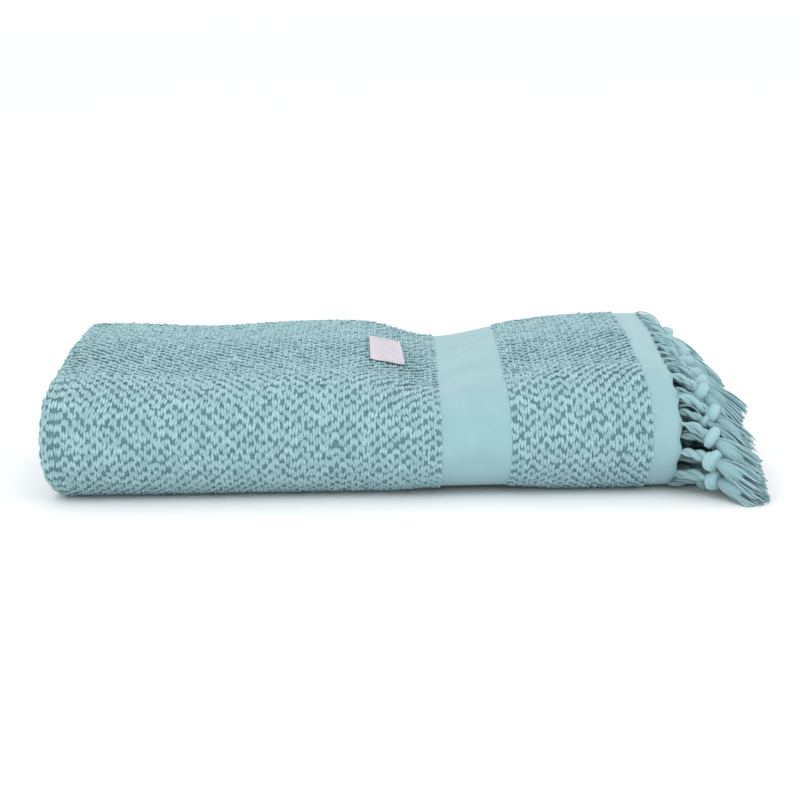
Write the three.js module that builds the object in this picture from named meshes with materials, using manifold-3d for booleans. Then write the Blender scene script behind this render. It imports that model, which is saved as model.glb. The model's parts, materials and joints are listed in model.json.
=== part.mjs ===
// Bath towel with a knotted fringe, folded for the shelf. Millimetres, +Z up.
// One cloth of 1000 x 1800 mm is folded twice along its length and twice across its width, which makes
// sixteen plies. Its rounded front fold faces -Y, its closed end faces -X, and both fringed ends face +X.
import * as THREE from "three";
import { mergeVertices } from "three/addons/utils/BufferGeometryUtils.js";
import Module from "manifold-3d";

// The cloth and the folded stack
const HEM_X = 225; // the outer hem, from the middle of the cloth
const TOP_RUN = 200; // flat run of the top panel, front to back
const BASE_PROUD = 16; // how far the bottom selvedge lies behind the back fold's centre
const THIRD_PROUD = 10; // and the selvedge of the panel above it
const INNER_SETBACK = 4; // air behind the front fold, in front of the panels inside
const HEM_SETBACK = 3; // the inner hem ends a little short of the outer one
const CLOTH = 5.04; // thickness of the pebbled cloth
const AIR = 0.56; // between two plies

// How the stack settles
const BACK_RISE = 0.1; // the stack is looser behind the front fold
const RISE_RUN = 120;
const WAIST = 0.145; // the thin bands let the stack dip
const WAIST_LEFT = 34;
const WAIST_RIGHT = 56;
const WAIST_SETBACK = 3; // it is deepest just inside the band's inner edge
const HOLLOW = 0.035; // a shallow hollow in the long side
const HOLLOW_X = -121;
const HOLLOW_REACH = 46;
const HEM_RISE = 0.03; // the knots under the hem hold it up
const END_BULGE = 0.028;
const BAND_LIFT = 2.2; // the thin band clears the shelf

// The woven bands and hems
const BAND_WIDTH = 49;
const BAND_SETBACK = 119; // from the hem to the band
const HEM_WIDTH = 21;
const BAND_RECESS = 1.8; // the flat weave lies below the pebbles
const WEAVE_EDGE = 1; // half the width of the step between them

// The fringe
const PITCH = 20;
const TASSEL = 60; // from hem to tip
const ROOT_GAP = 0.5;
const DROOP = 0.55; // how far a tip has sunk towards the shelf
const LOW_LIFT = 2.08; // the knots and tips of the lowest row lie on the shelf, as the cloth does
const LOW_REACH = 15;
const FAN = 0.38; // how far, in radians, the tassels of the rounded folds turn outwards
const FAN_LOW = 1.4; // and how much further the low ones do
const CORD = 1.6; // depth and half height of the cord that joins an inner row
const OUTER_SIDES = 7;
const INNER_SIDES = 5;

// The label
const LABEL_WIDTH = 25;
const LABEL_SETBACK = 25; // from the band to the label
const LABEL_FRONT = 44; // from the front fold's centre back to the label
const LABEL_LENGTH = 72;
const LABEL_THICK = 0.6;
const GAP = 0.35; // between pieces that touch
const THREAD = 0.7;
const THREAD_INSET = 0.12; // share of a label facet between its edge and the stitching
const THREAD_MARGIN = 0.06; // share of the label's width that a line of stitching leaves free

// What follows from them
const PLY = CLOTH + AIR;
const BAND_FAR = HEM_X - BAND_SETBACK;
const BAND_NEAR = BAND_FAR - BAND_WIDTH;
const WAIST_X = BAND_NEAR - WAIST_SETBACK;
const FOLD_X = -HEM_X + 2 * PLY; // centre line of the folds at the closed end
const LABEL_RIGHT = BAND_NEAR - LABEL_SETBACK;
const LABEL_LEFT = LABEL_RIGHT - LABEL_WIDTH;
const LABEL_STOPS = [LABEL_FRONT, LABEL_FRONT + LABEL_LENGTH / 2, LABEL_FRONT + LABEL_LENGTH];
const BASE_RUN = TOP_RUN + BASE_PROUD;
const SECOND_RUN = TOP_RUN - INNER_SETBACK;
const THIRD_RUN = SECOND_RUN + THIRD_PROUD;
const BUNDLE = 4 * PLY;
const STACK = 4 * BUNDLE;
const OUTER_PLY = 3.5 * PLY;
const NOSE_STEPS = 8;
const BEND_STEPS = 4;
const FIELD_STEPS = 4;
const NOSE_Y = -TOP_RUN / 2;
const BACK_Y = TOP_RUN / 2;
const GROUND = (PLY - CLOTH) / 2;
const BUNCH = Math.hypot(PITCH / 2, PLY) / 2; // the room for one of the staggered tassels
const { clamp, lerp, smoothstep } = THREE.MathUtils;

const TEAL = { color: 0x8eb3b9, roughness: 0.95, metalness: 0 };
const YARN = { color: 0x8bb0b5, roughness: 0.95, metalness: 0 };
const LABEL_WHITE = { color: 0xccccd2, roughness: 0.6, metalness: 0 };
const THREAD_WHITE = { color: 0xc2c8cc, roughness: 0.7, metalness: 0 };

const wasm = await Module();
wasm.setup();

// ---- The stack's cross-section ----

// A flat run of the four-ply bundle; up is +1 where its outer ply lies on top.
function flatRun(fromY, toY, z, up) {
  return { length: Math.abs(toY - fromY), at: (t) => ({ y: lerp(fromY, toY, t), z, ny: 0, nz: up }) };
}

// A fold of the bundle. side is -1 towards the front, out is +1 where the outer ply is outside.
function foldRun(y, z, radius, side, from, to, out) {
  const at = (t) => {
    const angle = lerp(from, to, t);
    const dy = side * Math.cos(angle);
    const dz = Math.sin(angle);
    return { y: y + radius * dy, z: z + radius * dz, ny: out * dy, nz: out * dz };
  };
  return { length: Math.PI * (radius + out * OUTER_PLY), at };
}

const UP = Math.PI / 2;
const RUNS = {
  base: flatRun(NOSE_Y + BASE_RUN, NOSE_Y, BUNDLE, -1),
  nose: foldRun(NOSE_Y, 2 * BUNDLE, BUNDLE, -1, -UP, UP, 1),
  top: flatRun(NOSE_Y, BACK_Y, 3 * BUNDLE, 1),
  back: foldRun(BACK_Y, 3 * BUNDLE, 0, 1, UP, -UP, 1),
  second: flatRun(BACK_Y, BACK_Y - SECOND_RUN, 3 * BUNDLE, -1),
  inner: foldRun(NOSE_Y + INNER_SETBACK, 2 * BUNDLE, BUNDLE, -1, UP, -UP, -1),
  third: flatRun(NOSE_Y + INNER_SETBACK, NOSE_Y + INNER_SETBACK + THIRD_RUN, BUNDLE, 1),
};

// Evenly spaced stations of a fold.
function even(steps) {
  return Array.from({ length: steps + 1 }, (_, i) => i / steps);
}

// The stations across the cloth, from one selvedge to the other, with no station twice.
function widthStations() {
  const topStops = [...LABEL_STOPS, TOP_RUN].map((d) => d / TOP_RUN);
  const secondStops = [(TOP_RUN - RISE_RUN) / SECOND_RUN];
  return [
    ...[0, (BASE_RUN - RISE_RUN) / BASE_RUN].map(RUNS.base.at),
    ...even(NOSE_STEPS).map(RUNS.nose.at),
    ...topStops.map(RUNS.top.at),
    ...even(BEND_STEPS).slice(1).map(RUNS.back.at),
    ...secondStops.map(RUNS.second.at),
    ...even(BEND_STEPS).map(RUNS.inner.at),
    ...[(RISE_RUN - INNER_SETBACK) / THIRD_RUN, 1].map(RUNS.third.at),
  ];
}

// 1 on the band and on the hem strip, 0 on the pebbled field.
function flatWeave(x) {
  const past = (edge) => smoothstep(x, edge - WEAVE_EDGE / 2, edge + WEAVE_EDGE / 2);
  return past(BAND_NEAR) - past(BAND_FAR) + past(HEM_X - HEM_WIDTH);
}

// Where a point of the neat stack lies once the stack has settled.
function settle(x, y, z) {
  const rise = 1 + BACK_RISE * smoothstep(y, NOSE_Y, NOSE_Y + RISE_RUN);
  const reach = x < WAIST_X ? WAIST_LEFT : WAIST_RIGHT;
  const dip = WAIST * Math.exp(-(((x - WAIST_X) / reach) ** 2));
  const hollow = HOLLOW * Math.exp(-(((x - HOLLOW_X) / HOLLOW_REACH) ** 2));
  const hemRise = HEM_RISE * smoothstep(x, BAND_FAR, HEM_X - HEM_WIDTH);
  const level = (2 * z) / STACK - 1;
  const bulge = 1 + END_BULGE * (1 - level * level);
  const middle = (BAND_NEAR + BAND_FAR) / 2;
  const onBand = Math.exp(-(((x - middle) / BAND_WIDTH) ** 6));
  const lift = BAND_LIFT * onBand * (1 - clamp(z / STACK, 0, 1));
  return new THREE.Vector3(x * bulge, y, z * rise * (1 - dip - hollow + hemRise) + lift);
}

// The point at height h above a station's inner face, and at x along the towel.
function place(x, station, h) {
  return settle(x, station.y + h * station.ny, station.z + h * station.nz - GROUND);
}

// ---- Closed meshes ----

function geometryOf(points, triangles) {
  const geometry = new THREE.BufferGeometry();
  const positions = points.flatMap((p) => [p.x, p.y, p.z]);
  geometry.setAttribute("position", new THREE.Float32BufferAttribute(positions, 3));
  geometry.setIndex(triangles);
  return geometry;
}

// A closed sheet between two grids of the same size, the first on its outer side.
function sheetBetween(outer, inner) {
  const rows = outer.length;
  const columns = outer[0].length;
  const points = [...outer.flat(), ...inner.flat()];
  const at = (side, i, j) => side * rows * columns + i * columns + j;
  const triangles = [];
  const quad = (a, b, c, d) => triangles.push(a, b, c, a, c, d);
  for (let i = 0; i + 1 < rows; i++) {
    for (let j = 0; j + 1 < columns; j++) {
      quad(at(0, i, j), at(0, i, j + 1), at(0, i + 1, j + 1), at(0, i + 1, j));
      quad(at(1, i, j), at(1, i + 1, j), at(1, i + 1, j + 1), at(1, i, j + 1));
    }
    quad(at(0, i, 0), at(0, i + 1, 0), at(1, i + 1, 0), at(1, i, 0));
    quad(at(0, i + 1, columns - 1), at(0, i, columns - 1), at(1, i, columns - 1), at(1, i + 1, columns - 1));
  }
  for (let j = 0; j + 1 < columns; j++) {
    quad(at(0, 0, j + 1), at(0, 0, j), at(1, 0, j), at(1, 0, j + 1));
    quad(at(0, rows - 1, j), at(0, rows - 1, j + 1), at(1, rows - 1, j + 1), at(1, rows - 1, j));
  }
  return geometryOf(points, triangles);
}

// A closed skin over a row of rings, each with the same number of points.
function skinOver(rings) {
  const sides = rings[0].length;
  const triangles = [];
  const last = (rings.length - 1) * sides;
  for (let i = 0; i + 1 < rings.length; i++) {
    for (let j = 0; j < sides; j++) {
      const k = (j + 1) % sides;
      const [a, b, c, d] = [i * sides + j, i * sides + k, (i + 1) * sides + k, (i + 1) * sides + j];
      triangles.push(a, b, c, a, c, d);
    }
  }
  for (let j = 1; j + 1 < sides; j++) {
    triangles.push(0, j + 1, j);
    triangles.push(last, last + j, last + j + 1);
  }
  return geometryOf(rings.flat(), triangles);
}

function solidOf(geometry) {
  const bare = mergeVertices(geometry, 1e-4);
  const vertProperties = bare.attributes.position.array;
  const triVerts = new Uint32Array(bare.index.array);
  return new wasm.Manifold(new wasm.Mesh({ numProp: 3, vertProperties, triVerts }));
}

function geometryOfSolid(solid) {
  const { vertProperties, triVerts } = solid.getMesh();
  const geometry = new THREE.BufferGeometry();
  geometry.setAttribute("position", new THREE.BufferAttribute(new Float32Array(vertProperties), 3));
  geometry.setIndex(new THREE.BufferAttribute(triVerts, 1));
  return geometry;
}

function piece(name, geometry, finish) {
  const shaded = geometry.toNonIndexed();
  shaded.computeVertexNormals();
  const mesh = new THREE.Mesh(shaded, new THREE.MeshStandardMaterial({ ...finish }));
  mesh.name = name;
  return mesh;
}

// ---- The cloth ----

// The four plies of the bundle seen from the side: place along the towel, height, and the face's direction.
function lengthStations() {
  const hemStart = HEM_X - HEM_WIDTH;
  const field = even(FIELD_STEPS).slice(0, -1).map((t) => lerp(FOLD_X, LABEL_LEFT, t));
  const bandMiddle = (BAND_NEAR + BAND_FAR) / 2;
  const endPanel = (BAND_FAR + hemStart) / 2;
  const stops = [...field, LABEL_LEFT, LABEL_RIGHT, BAND_NEAR, bandMiddle, BAND_FAR, endPanel, hemStart];
  const steps = [BAND_NEAR, BAND_FAR, hemStart];
  const edges = (x) => (steps.includes(x) ? [x - WEAVE_EDGE, x + WEAVE_EDGE] : [x]);
  const flat = (xs, h, nh, outer) => xs.map((x) => ({ x, h, nx: 0, nh, outer }));
  const bend = (x, h, radius, from, to, out) =>
    even(BEND_STEPS).slice(1, -1).map((t) => {
      const angle = lerp(from, to, t);
      const dx = Math.cos(angle);
      const dh = Math.sin(angle);
      return { x: x + radius * dx, h: h + radius * dh, nx: out * dx, nh: out * dh, outer: false };
    });
  const firstFold = HEM_X - PLY;
  const outerHem = [...stops.flatMap(edges), HEM_X];
  return [
    ...flat([...outerHem].reverse(), 3.5 * PLY, 1, true),
    ...bend(FOLD_X, 2 * PLY, 1.5 * PLY, UP, 3 * UP, 1),
    ...flat([...stops, firstFold], 0.5 * PLY, -1, false),
    ...bend(firstFold, PLY, 0.5 * PLY, -UP, UP, 1),
    ...flat([...stops, firstFold].reverse(), 1.5 * PLY, 1, false),
    ...bend(FOLD_X, 2 * PLY, 0.5 * PLY, 3 * UP, UP, -1),
    ...flat([...stops, HEM_X - HEM_SETBACK], 2.5 * PLY, -1, false),
  ];
}

function towelCloth() {
  const across = widthStations();
  const along = lengthStations();
  const half = CLOTH / 2;
  const side = (sign) =>
    along.map(({ x, h, nx, nh, outer }) => {
      const recess = outer && sign > 0 ? BAND_RECESS * flatWeave(x) : 0;
      const offset = sign * half - recess;
      return across.map((station) => place(x + offset * nx, station, h + offset * nh));
    });
  return piece("towel_cloth", sheetBetween(side(1), side(-1)), TEAL);
}

// ---- The label and its stitching ----

// The label's stations lie on the cloth's own, so its facets are parallel to the cloth under it.
function labelStations() {
  return LABEL_STOPS.map((d) => RUNS.top.at(d / TOP_RUN));
}

function labelFace(height) {
  const h = OUTER_PLY + CLOTH / 2 + height;
  return [LABEL_RIGHT, LABEL_LEFT].map((x) => labelStations().map((station) => place(x, station, h)));
}

function label() {
  return piece("label", sheetBetween(labelFace(GAP + LABEL_THICK), labelFace(GAP)), LABEL_WHITE);
}

// One line of stitching across the label, on the facet between two of its stations.
function labelThread(name, from, to) {
  const line = (height, share) =>
    labelFace(height).map((row) => new THREE.Vector3().lerpVectors(row[from], row[to], share));
  const base = 2 * GAP + LABEL_THICK;
  const reach = THREAD / labelFace(0)[0][from].distanceTo(labelFace(0)[0][to]);
  const [near, far] = [THREAD_INSET, THREAD_INSET + reach];
  const corners = [line(base, near), line(base + THREAD, near), line(base + THREAD, far), line(base, far)];
  const ring = (end) => corners.map((corner) => new THREE.Vector3().lerpVectors(corner[1], corner[0], end));
  const rings = [ring(THREAD_MARGIN), ring(1 - THREAD_MARGIN)];
  const geometry = skinOver(from < to ? rings.map((r) => r.reverse()) : rings);
  return piece(name, geometry, THREAD_WHITE);
}

// ---- The fringe ----

// A point of the fringe, r along its tassel: everything sinks towards the shelf on its way out, so a
// tassel that starts high up reaches less far.
function hang(r, y, z, hemX) {
  const out = r / Math.hypot(1, (DROOP * z) / TASSEL) + hemX - HEM_X;
  const lift = LOW_LIFT * Math.exp(-z / LOW_REACH) * smoothstep(out, 0, LOW_REACH);
  const point = settle(HEM_X, y, z + lift);
  point.x += out;
  point.z *= 1 - DROOP * smoothstep(out, 0, TASSEL);
  return point;
}

// Distance from the hem and radius along a tassel: root, stem, knot, neck, tuft.
const OUTER_SHAPE = [
  [ROOT_GAP, 0.1],
  [4, 0.3],
  [11, 0.5],
  [23, 0.54],
  [27, 0.89],
  [33, 0.89],
  [37, 0.57],
  [TASSEL, 0.89],
].map(([r, share]) => [r, share * BUNCH]);
const INNER_SHAPE = [
  [ROOT_GAP + CORD / 2, 0.23],
  [22, 0.52],
  [29, 0.78],
  [37, 0.54],
  [TASSEL - 4, 0.77],
].map(([r, share]) => [r, share * BUNCH]);

function tasselRings(station, h, shape, sides, hemX) {
  const y = station.y + h * station.ny;
  const z = station.z + h * station.nz - GROUND;
  return shape.map(([r, radius]) =>
    Array.from({ length: sides }, (_, i) => {
      const angle = (2 * Math.PI * (i + 0.5)) / sides;
      return hang(r, y + radius * Math.cos(angle), z + radius * Math.sin(angle), hemX);
    }),
  );
}

// The stations of a row of tassels, one every PITCH along the outer ply of the runs it crosses.
function fringeStations(names, first, free) {
  const end = names.reduce((sum, name) => sum + RUNS[name].length, -free);
  const stations = [];
  let start = 0;
  let next = first;
  for (const name of names) {
    const run = RUNS[name];
    const stop = Math.min(start + run.length, end);
    for (; next < stop; next += PITCH) stations.push(run.at((next - start) / run.length));
    start += run.length;
  }
  return stations;
}

// The outer row leaves half a pitch free, where the next row starts.
const OUTER_ROW = fringeStations(["base", "nose", "top", "back"], PITCH / 2, PITCH / 2);

// The ring's points once their tassel has turned outwards about the upright line through its root.
function fanned(rings, station) {
  const angle = FAN * station.ny * (1 - FAN_LOW * station.nz);
  const foot = new THREE.Vector3();
  rings[0].forEach((point) => foot.addScaledVector(point, 1 / rings[0].length));
  const upright = new THREE.Vector3(0, 0, 1);
  return rings.map((ring) => ring.map((point) => point.sub(foot).applyAxisAngle(upright, angle).add(foot)));
}

function outerTassels() {
  return OUTER_ROW.map((station, i) => {
    const rings = fanned(tasselRings(station, OUTER_PLY, OUTER_SHAPE, OUTER_SIDES, HEM_X), station);
    return piece("tassel_" + String(i + 1).padStart(2, "0"), skinOver(rings), YARN);
  });
}

// A row of tassels between the plies, joined by the cord of yarn that runs along its hem.
function innerRow(name, names, h, first, hemX) {
  const ends = fringeStations(names, first, 0);
  const cord = names.flatMap((run) => {
    const steps = run === "nose" ? NOSE_STEPS : BEND_STEPS;
    return even(steps).slice(run === names[0] ? 0 : 1).map(RUNS[run].at);
  });
  const face = (r, height) => cord.map((station) => {
    const y = station.y + height * station.ny;
    const z = station.z + height * station.nz - GROUND;
    return hang(r, y, z, hemX);
  });
  const strip = sheetBetween(
    [face(ROOT_GAP + CORD, h + CORD), face(ROOT_GAP, h + CORD)],
    [face(ROOT_GAP + CORD, h - CORD), face(ROOT_GAP, h - CORD)],
  );
  const tasselAt = (station) => solidOf(skinOver(tasselRings(station, h, INNER_SHAPE, INNER_SIDES, hemX)));
  const joined = ends.reduce((solid, station) => solid.add(tasselAt(station)), solidOf(strip));
  return piece(name, geometryOfSolid(joined), YARN);
}

function innerRows() {
  const innerHem = HEM_X - HEM_SETBACK;
  return [
    innerRow("fringe_row_middle", ["second", "inner", "third"], OUTER_PLY, PITCH / 2, HEM_X),
    innerRow("fringe_row_inner_outside", ["base", "nose", "top"], 2.5 * PLY, PITCH, innerHem),
    innerRow("fringe_row_inner_middle", ["second", "inner", "third"], 2.5 * PLY, PITCH, innerHem),
  ];
}

// ---- The whole towel, centred over the shelf ----

const towel = new THREE.Group();
towel.add(towelCloth());
towel.add(label());
towel.add(labelThread("label_stitching_front", 0, 1));
towel.add(labelThread("label_stitching_back", 2, 1));
towel.add(...outerTassels());
towel.add(...innerRows());

const box = new THREE.Box3().setFromObject(towel);
const middle = box.getCenter(new THREE.Vector3());
towel.position.set(-middle.x, -middle.y, -box.min.z);

const root = new THREE.Group();
root.add(towel);
export default root;
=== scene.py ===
"""The look of a folded bath towel with a knotted fringe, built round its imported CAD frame.

Sizes are millimetres until a mesh is made. The towel's own frame has its middle at x 0 and y 0, and the
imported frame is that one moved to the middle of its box.
"""

import json
import logging
import math
from dataclasses import dataclass, field
from enum import Enum

import bpy
import numpy as np
from mathutils import Matrix, Vector

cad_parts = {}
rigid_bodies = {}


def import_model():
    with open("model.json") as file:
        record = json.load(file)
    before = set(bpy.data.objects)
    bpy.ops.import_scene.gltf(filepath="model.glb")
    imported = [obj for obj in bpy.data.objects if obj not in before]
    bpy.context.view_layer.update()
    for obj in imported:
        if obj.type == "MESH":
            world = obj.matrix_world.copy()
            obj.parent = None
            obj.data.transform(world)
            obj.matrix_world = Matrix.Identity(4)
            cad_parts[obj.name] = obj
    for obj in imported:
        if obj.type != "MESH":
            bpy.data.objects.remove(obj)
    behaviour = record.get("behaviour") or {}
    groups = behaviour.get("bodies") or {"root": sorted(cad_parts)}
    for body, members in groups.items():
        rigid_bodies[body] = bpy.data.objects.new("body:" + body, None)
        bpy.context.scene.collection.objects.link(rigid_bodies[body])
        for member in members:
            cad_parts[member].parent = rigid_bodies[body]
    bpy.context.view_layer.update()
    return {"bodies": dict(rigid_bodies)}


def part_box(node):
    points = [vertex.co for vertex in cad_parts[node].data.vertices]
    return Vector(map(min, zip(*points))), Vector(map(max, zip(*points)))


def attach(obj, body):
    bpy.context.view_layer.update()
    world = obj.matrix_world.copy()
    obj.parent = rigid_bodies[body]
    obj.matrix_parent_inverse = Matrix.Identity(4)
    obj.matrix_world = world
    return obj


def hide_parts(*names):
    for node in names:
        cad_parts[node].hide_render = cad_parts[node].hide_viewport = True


Array = np.ndarray
Stops = list[tuple[float, ...]]
Colour = tuple[float, float, float, float]
Material = bpy.types.Material
ShaderGroup = bpy.types.NodeTree
Node = bpy.types.Node
Socket = bpy.types.NodeSocket
Object = bpy.types.Object

LOG = logging.getLogger("towel")
MM = 0.001
SEED = 11
FIXED_BODY = "folded_towel"
UP_Z = np.array([0.0, 0.0, 1.0])
QUARTER_TURN = math.pi / 2
# Painted shade: the hidden plies and the inner face show only part of the flat weave's colour, the rest is
# the darker ground colour.
INNER_SHADE_MIX = 0.55  # how much of the flat weave's colour the hidden plies and the cloth's inner face show
LEAD = 3  # millimetres of a tassel's middle line that lie inside the hem, with a point for each


class Slot(Enum):
    """The record's material slots."""

    COTTON = "towel_cotton"
    YARN = "fringe_yarn"
    SATIN = "label_satin"
    THREAD = "label_thread"


class Run(Enum):
    """The runs of the folded bundle, from the lowest selvedge to the inner one."""

    BASE = "base"
    NOSE = "nose"
    TOP = "top"
    BACK = "back"
    SECOND = "second"
    INNER = "inner"
    THIRD = "third"


OUTER_RUNS = (Run.BASE, Run.NOSE, Run.TOP, Run.BACK)
INNER_RUNS = (Run.SECOND, Run.INNER, Run.THIRD)


def smoothstep(value: Array, low: float, high: float) -> Array:
    """A smooth step.

    Args:
        value: Where to take it.
        low: Where it leaves 0.
        high: Where it reaches 1.

    Returns:
        Numbers from 0 to 1.
    """
    t = np.clip((np.asarray(value, float) - low) / (high - low), 0, 1)
    return t * t * (3 - 2 * t)


def unit(vectors: Array) -> Array:
    """Vectors of length one, along the last axis."""
    return vectors / np.maximum(np.linalg.norm(vectors, axis=-1, keepdims=True), 1e-12)


def linear(red: int, green: int, blue: int) -> Colour:
    """The linear colour that a shader takes.

    Args:
        red: Screen value, from 0 to 255.
        green: Screen value, from 0 to 255.
        blue: Screen value, from 0 to 255.

    Returns:
        Red, green, blue and alpha, from 0 to 1.
    """
    share = [c / 255 for c in (red, green, blue)]
    out = [c / 12.92 if c <= 0.04045 else ((c + 0.055) / 1.055) ** 2.4 for c in share]
    return out[0], out[1], out[2], 1.0


# ---- How the cloth lies ----


@dataclass(frozen=True)
class Stack:
    """The folded stack: its plies, its runs and how it has settled. All in millimetres."""

    hem: float = 225.0
    ply: float = 5.6
    cloth: float = 5.04
    top_run: float = 200.0
    base_proud: float = 16.0
    third_proud: float = 10.0
    inner_setback: float = 4.0
    hem_setback: float = 3.0
    band_near: float = 57.0
    band_far: float = 106.0
    hem_strip: float = 21.0
    back_rise: float = 0.1
    rise_run: float = 120.0
    waist: float = 0.145
    waist_x: float = 54.0
    waist_left: float = 34.0
    waist_right: float = 56.0
    hollow: float = 0.035
    hollow_x: float = -121.0
    hollow_reach: float = 46.0
    hem_rise: float = 0.03
    end_bulge: float = 0.028
    band_lift: float = 2.2

    @property
    def height(self) -> float:
        """The neat stack's height."""
        return 16 * self.ply

    @property
    def outer_ply(self) -> float:
        """Height of the outer ply over the bundle's inner face."""
        return 3.5 * self.ply

    @property
    def fold_x(self) -> float:
        """Centre line of the folds at the closed end."""
        return 2 * self.ply - self.hem

    @property
    def bundle(self) -> float:
        """Thickness of the four plies that are folded together."""
        return 4 * self.ply

    def length(self, run: Run, h: float) -> float:
        """Length of a run.

        Args:
            run: The run.
            h: Height over the bundle's inner face.

        Returns:
            Its length in millimetres.
        """
        second = self.top_run - self.inner_setback
        return {
            Run.BASE: self.top_run + self.base_proud,
            Run.NOSE: math.pi * (self.bundle + h),
            Run.TOP: self.top_run,
            Run.BACK: math.pi * h,
            Run.SECOND: second,
            Run.INNER: math.pi * max(self.bundle - h, 0.1),
            Run.THIRD: second + self.third_proud,
        }[run]

    def station(self, run: Run, t: Array) -> Array:
        """Stations of the bundle's inner face.

        Args:
            run: The run that they lie on.
            t: Shares of its length, from 0 to 1.

        Returns:
            One row (y, z, direction y, direction z) for each share.
        """
        t = np.atleast_1d(np.asarray(t, float))
        front, back = -self.top_run / 2, self.top_run / 2
        bundle = self.bundle
        inner = front + self.inner_setback
        zero, one = np.zeros_like(t), np.ones_like(t)

        def flat(start: float, end: float, z: float, up: float) -> Array:
            """A level run.

            Args:
                start: Its y at share 0.
                end: Its y at share 1.
                z: Its height.
                up: 1 where the outer face looks up, -1 where it looks down.

            Returns:
                The stations.
            """
            return np.stack([start + (end - start) * t, z * one, zero, up * one], -1)

        def fold(y: float, z: float, radius: float, side: float, turn: float, out: float) -> Array:
            """A half turn.

            Args:
                y: Its centre.
                z: Its centre's height.
                radius: Its radius.
                side: 1 where it bulges to the back, -1 to the front.
                turn: 1 where it runs downwards, -1 upwards.
                out: 1 where the outer face looks away from the centre, -1 towards it.

            Returns:
                The stations.
            """
            angle = turn * (QUARTER_TURN - math.pi * t)
            dy, dz = side * np.cos(angle), np.sin(angle)
            return np.stack([y + radius * dy, z + radius * dz, out * dy, out * dz], -1)

        if run is Run.BASE:
            return flat(back + self.base_proud, front, bundle, -1)
        if run is Run.NOSE:
            return fold(front, 2 * bundle, bundle, -1, -1, 1)
        if run is Run.TOP:
            return flat(front, back, 3 * bundle, 1)
        if run is Run.BACK:
            return fold(back, 3 * bundle, 0, 1, 1, 1)
        if run is Run.SECOND:
            return flat(back, inner, 3 * bundle, -1)
        if run is Run.INNER:
            return fold(inner, 2 * bundle, bundle, -1, 1, -1)
        return flat(inner, inner + self.length(Run.THIRD, 0), bundle, 1)

    def settle(self, points: Array) -> Array:
        """Moves points of the neat stack to where they lie once it has settled.

        Args:
            points: Places (x, y, z) along the last axis.

        Returns:
            The moved places.
        """
        x, y, z = points[..., 0], points[..., 1], points[..., 2]
        rise = 1 + self.back_rise * smoothstep(y, -self.top_run / 2, -self.top_run / 2 + self.rise_run)
        reach = np.where(x < self.waist_x, self.waist_left, self.waist_right)
        dip = self.waist * np.exp(-(((x - self.waist_x) / reach) ** 2))
        hollow = self.hollow * np.exp(-(((x - self.hollow_x) / self.hollow_reach) ** 2))
        knots = self.hem_rise * smoothstep(x, self.band_far, self.hem - self.hem_strip)
        level = 2 * z / self.height - 1
        bulge = 1 + self.end_bulge * (1 - level**2)
        middle, width = (self.band_near + self.band_far) / 2, self.band_far - self.band_near
        on_band = np.exp(-(((x - middle) / width) ** 6))
        lift = self.band_lift * on_band * (1 - np.clip(z / self.height, 0, 1))
        return np.stack([x * bulge, y, z * rise * (1 - dip - hollow + knots) + lift], -1)

    def place(self, x: Array, station: Array, h: Array) -> Array:
        """Settled points of the bundle.

        Args:
            x: Places along the towel.
            station: Stations across it.
            h: Heights over the stations.

        Returns:
            Places (x, y, z) along the last axis.
        """
        x, h = np.broadcast_arrays(np.asarray(x, float), np.asarray(h, float))
        ground = (self.ply - self.cloth) / 2
        y = station[..., 0] + h * station[..., 2]
        z = station[..., 1] + h * station[..., 3] - ground
        x, y, z = np.broadcast_arrays(x, y, z)
        return self.settle(np.stack([x, y, z], -1))

    def offset(self) -> Array:
        """From the towel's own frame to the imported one."""
        low = np.array(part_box("towel_cloth")[0]) / MM
        end = self.fold_x - 2 * self.ply + (self.ply - self.cloth) / 2
        left = end * (1 + self.end_bulge)
        front = -self.top_run / 2 - self.bundle - self.outer_ply - self.cloth / 2
        return np.array([low[0] - left, low[1] - front, 0.0])


# ---- Meshes ----


def mesh_object(name: str, points: Array, faces: Array | None = None, edges: Array | None = None) -> Object:
    """A new smooth object.

    Args:
        name: Its name, and its mesh's.
        points: Its points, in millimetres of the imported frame.
        faces: Its faces, all with the same number of corners, if it has any.
        edges: Its loose edges, if it has any.

    Returns:
        The object, in the scene.
    """
    mesh = bpy.data.meshes.new(name)
    lists = [[] if part is None else part.tolist() for part in (edges, faces)]
    mesh.from_pydata((points * MM).tolist(), *lists)
    if faces is not None:
        mesh.validate()
        mesh.shade_smooth()
    return linked(name, mesh)


def linked(name: str, data: bpy.types.ID) -> Object:
    """A new object of the scene with the given data."""
    made = bpy.data.objects.new(name, data)
    bpy.context.scene.collection.objects.link(made)
    return made


def add_attribute(obj: Object, name: str, values: Array) -> None:
    """Stores a value for each point.

    Args:
        obj: The object.
        name: The value's name.
        values: One number or one vector for each point.
    """
    values = np.asarray(values, np.float32)
    kind, key = ("FLOAT", "value") if values.ndim == 1 else ("FLOAT_VECTOR", "vector")
    attribute = obj.data.attributes.new(name, kind, "POINT")
    attribute.data.foreach_set(key, values.ravel())


def closed_sheet(outer: Array, inner: Array) -> tuple[Array, Array]:
    """A closed sheet between two grids.

    Args:
        outer: Points of its outer side, by row and column.
        inner: Points of its inner side, in the same order.

    Returns:
        Its points and its quads.
    """
    rows, columns = outer.shape[:2]
    shift = rows * columns
    index = np.arange(shift).reshape(rows, columns)
    a, b, c, d = index[:-1, :-1], index[:-1, 1:], index[1:, 1:], index[1:, :-1]
    quads = [np.stack([a, b, c, d], -1).reshape(-1, 4), np.stack([a, d, c, b], -1).reshape(-1, 4) + shift]
    for edge in (index[0, ::-1], index[-1], index[:, 0], index[::-1, -1]):
        wall = np.stack([edge[1:], edge[1:] + shift, edge[:-1] + shift, edge[:-1]], -1)
        quads.append(wall.reshape(-1, 4))
    points = np.concatenate([outer.reshape(-1, 3), inner.reshape(-1, 3)])
    return points, np.concatenate(quads)


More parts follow.
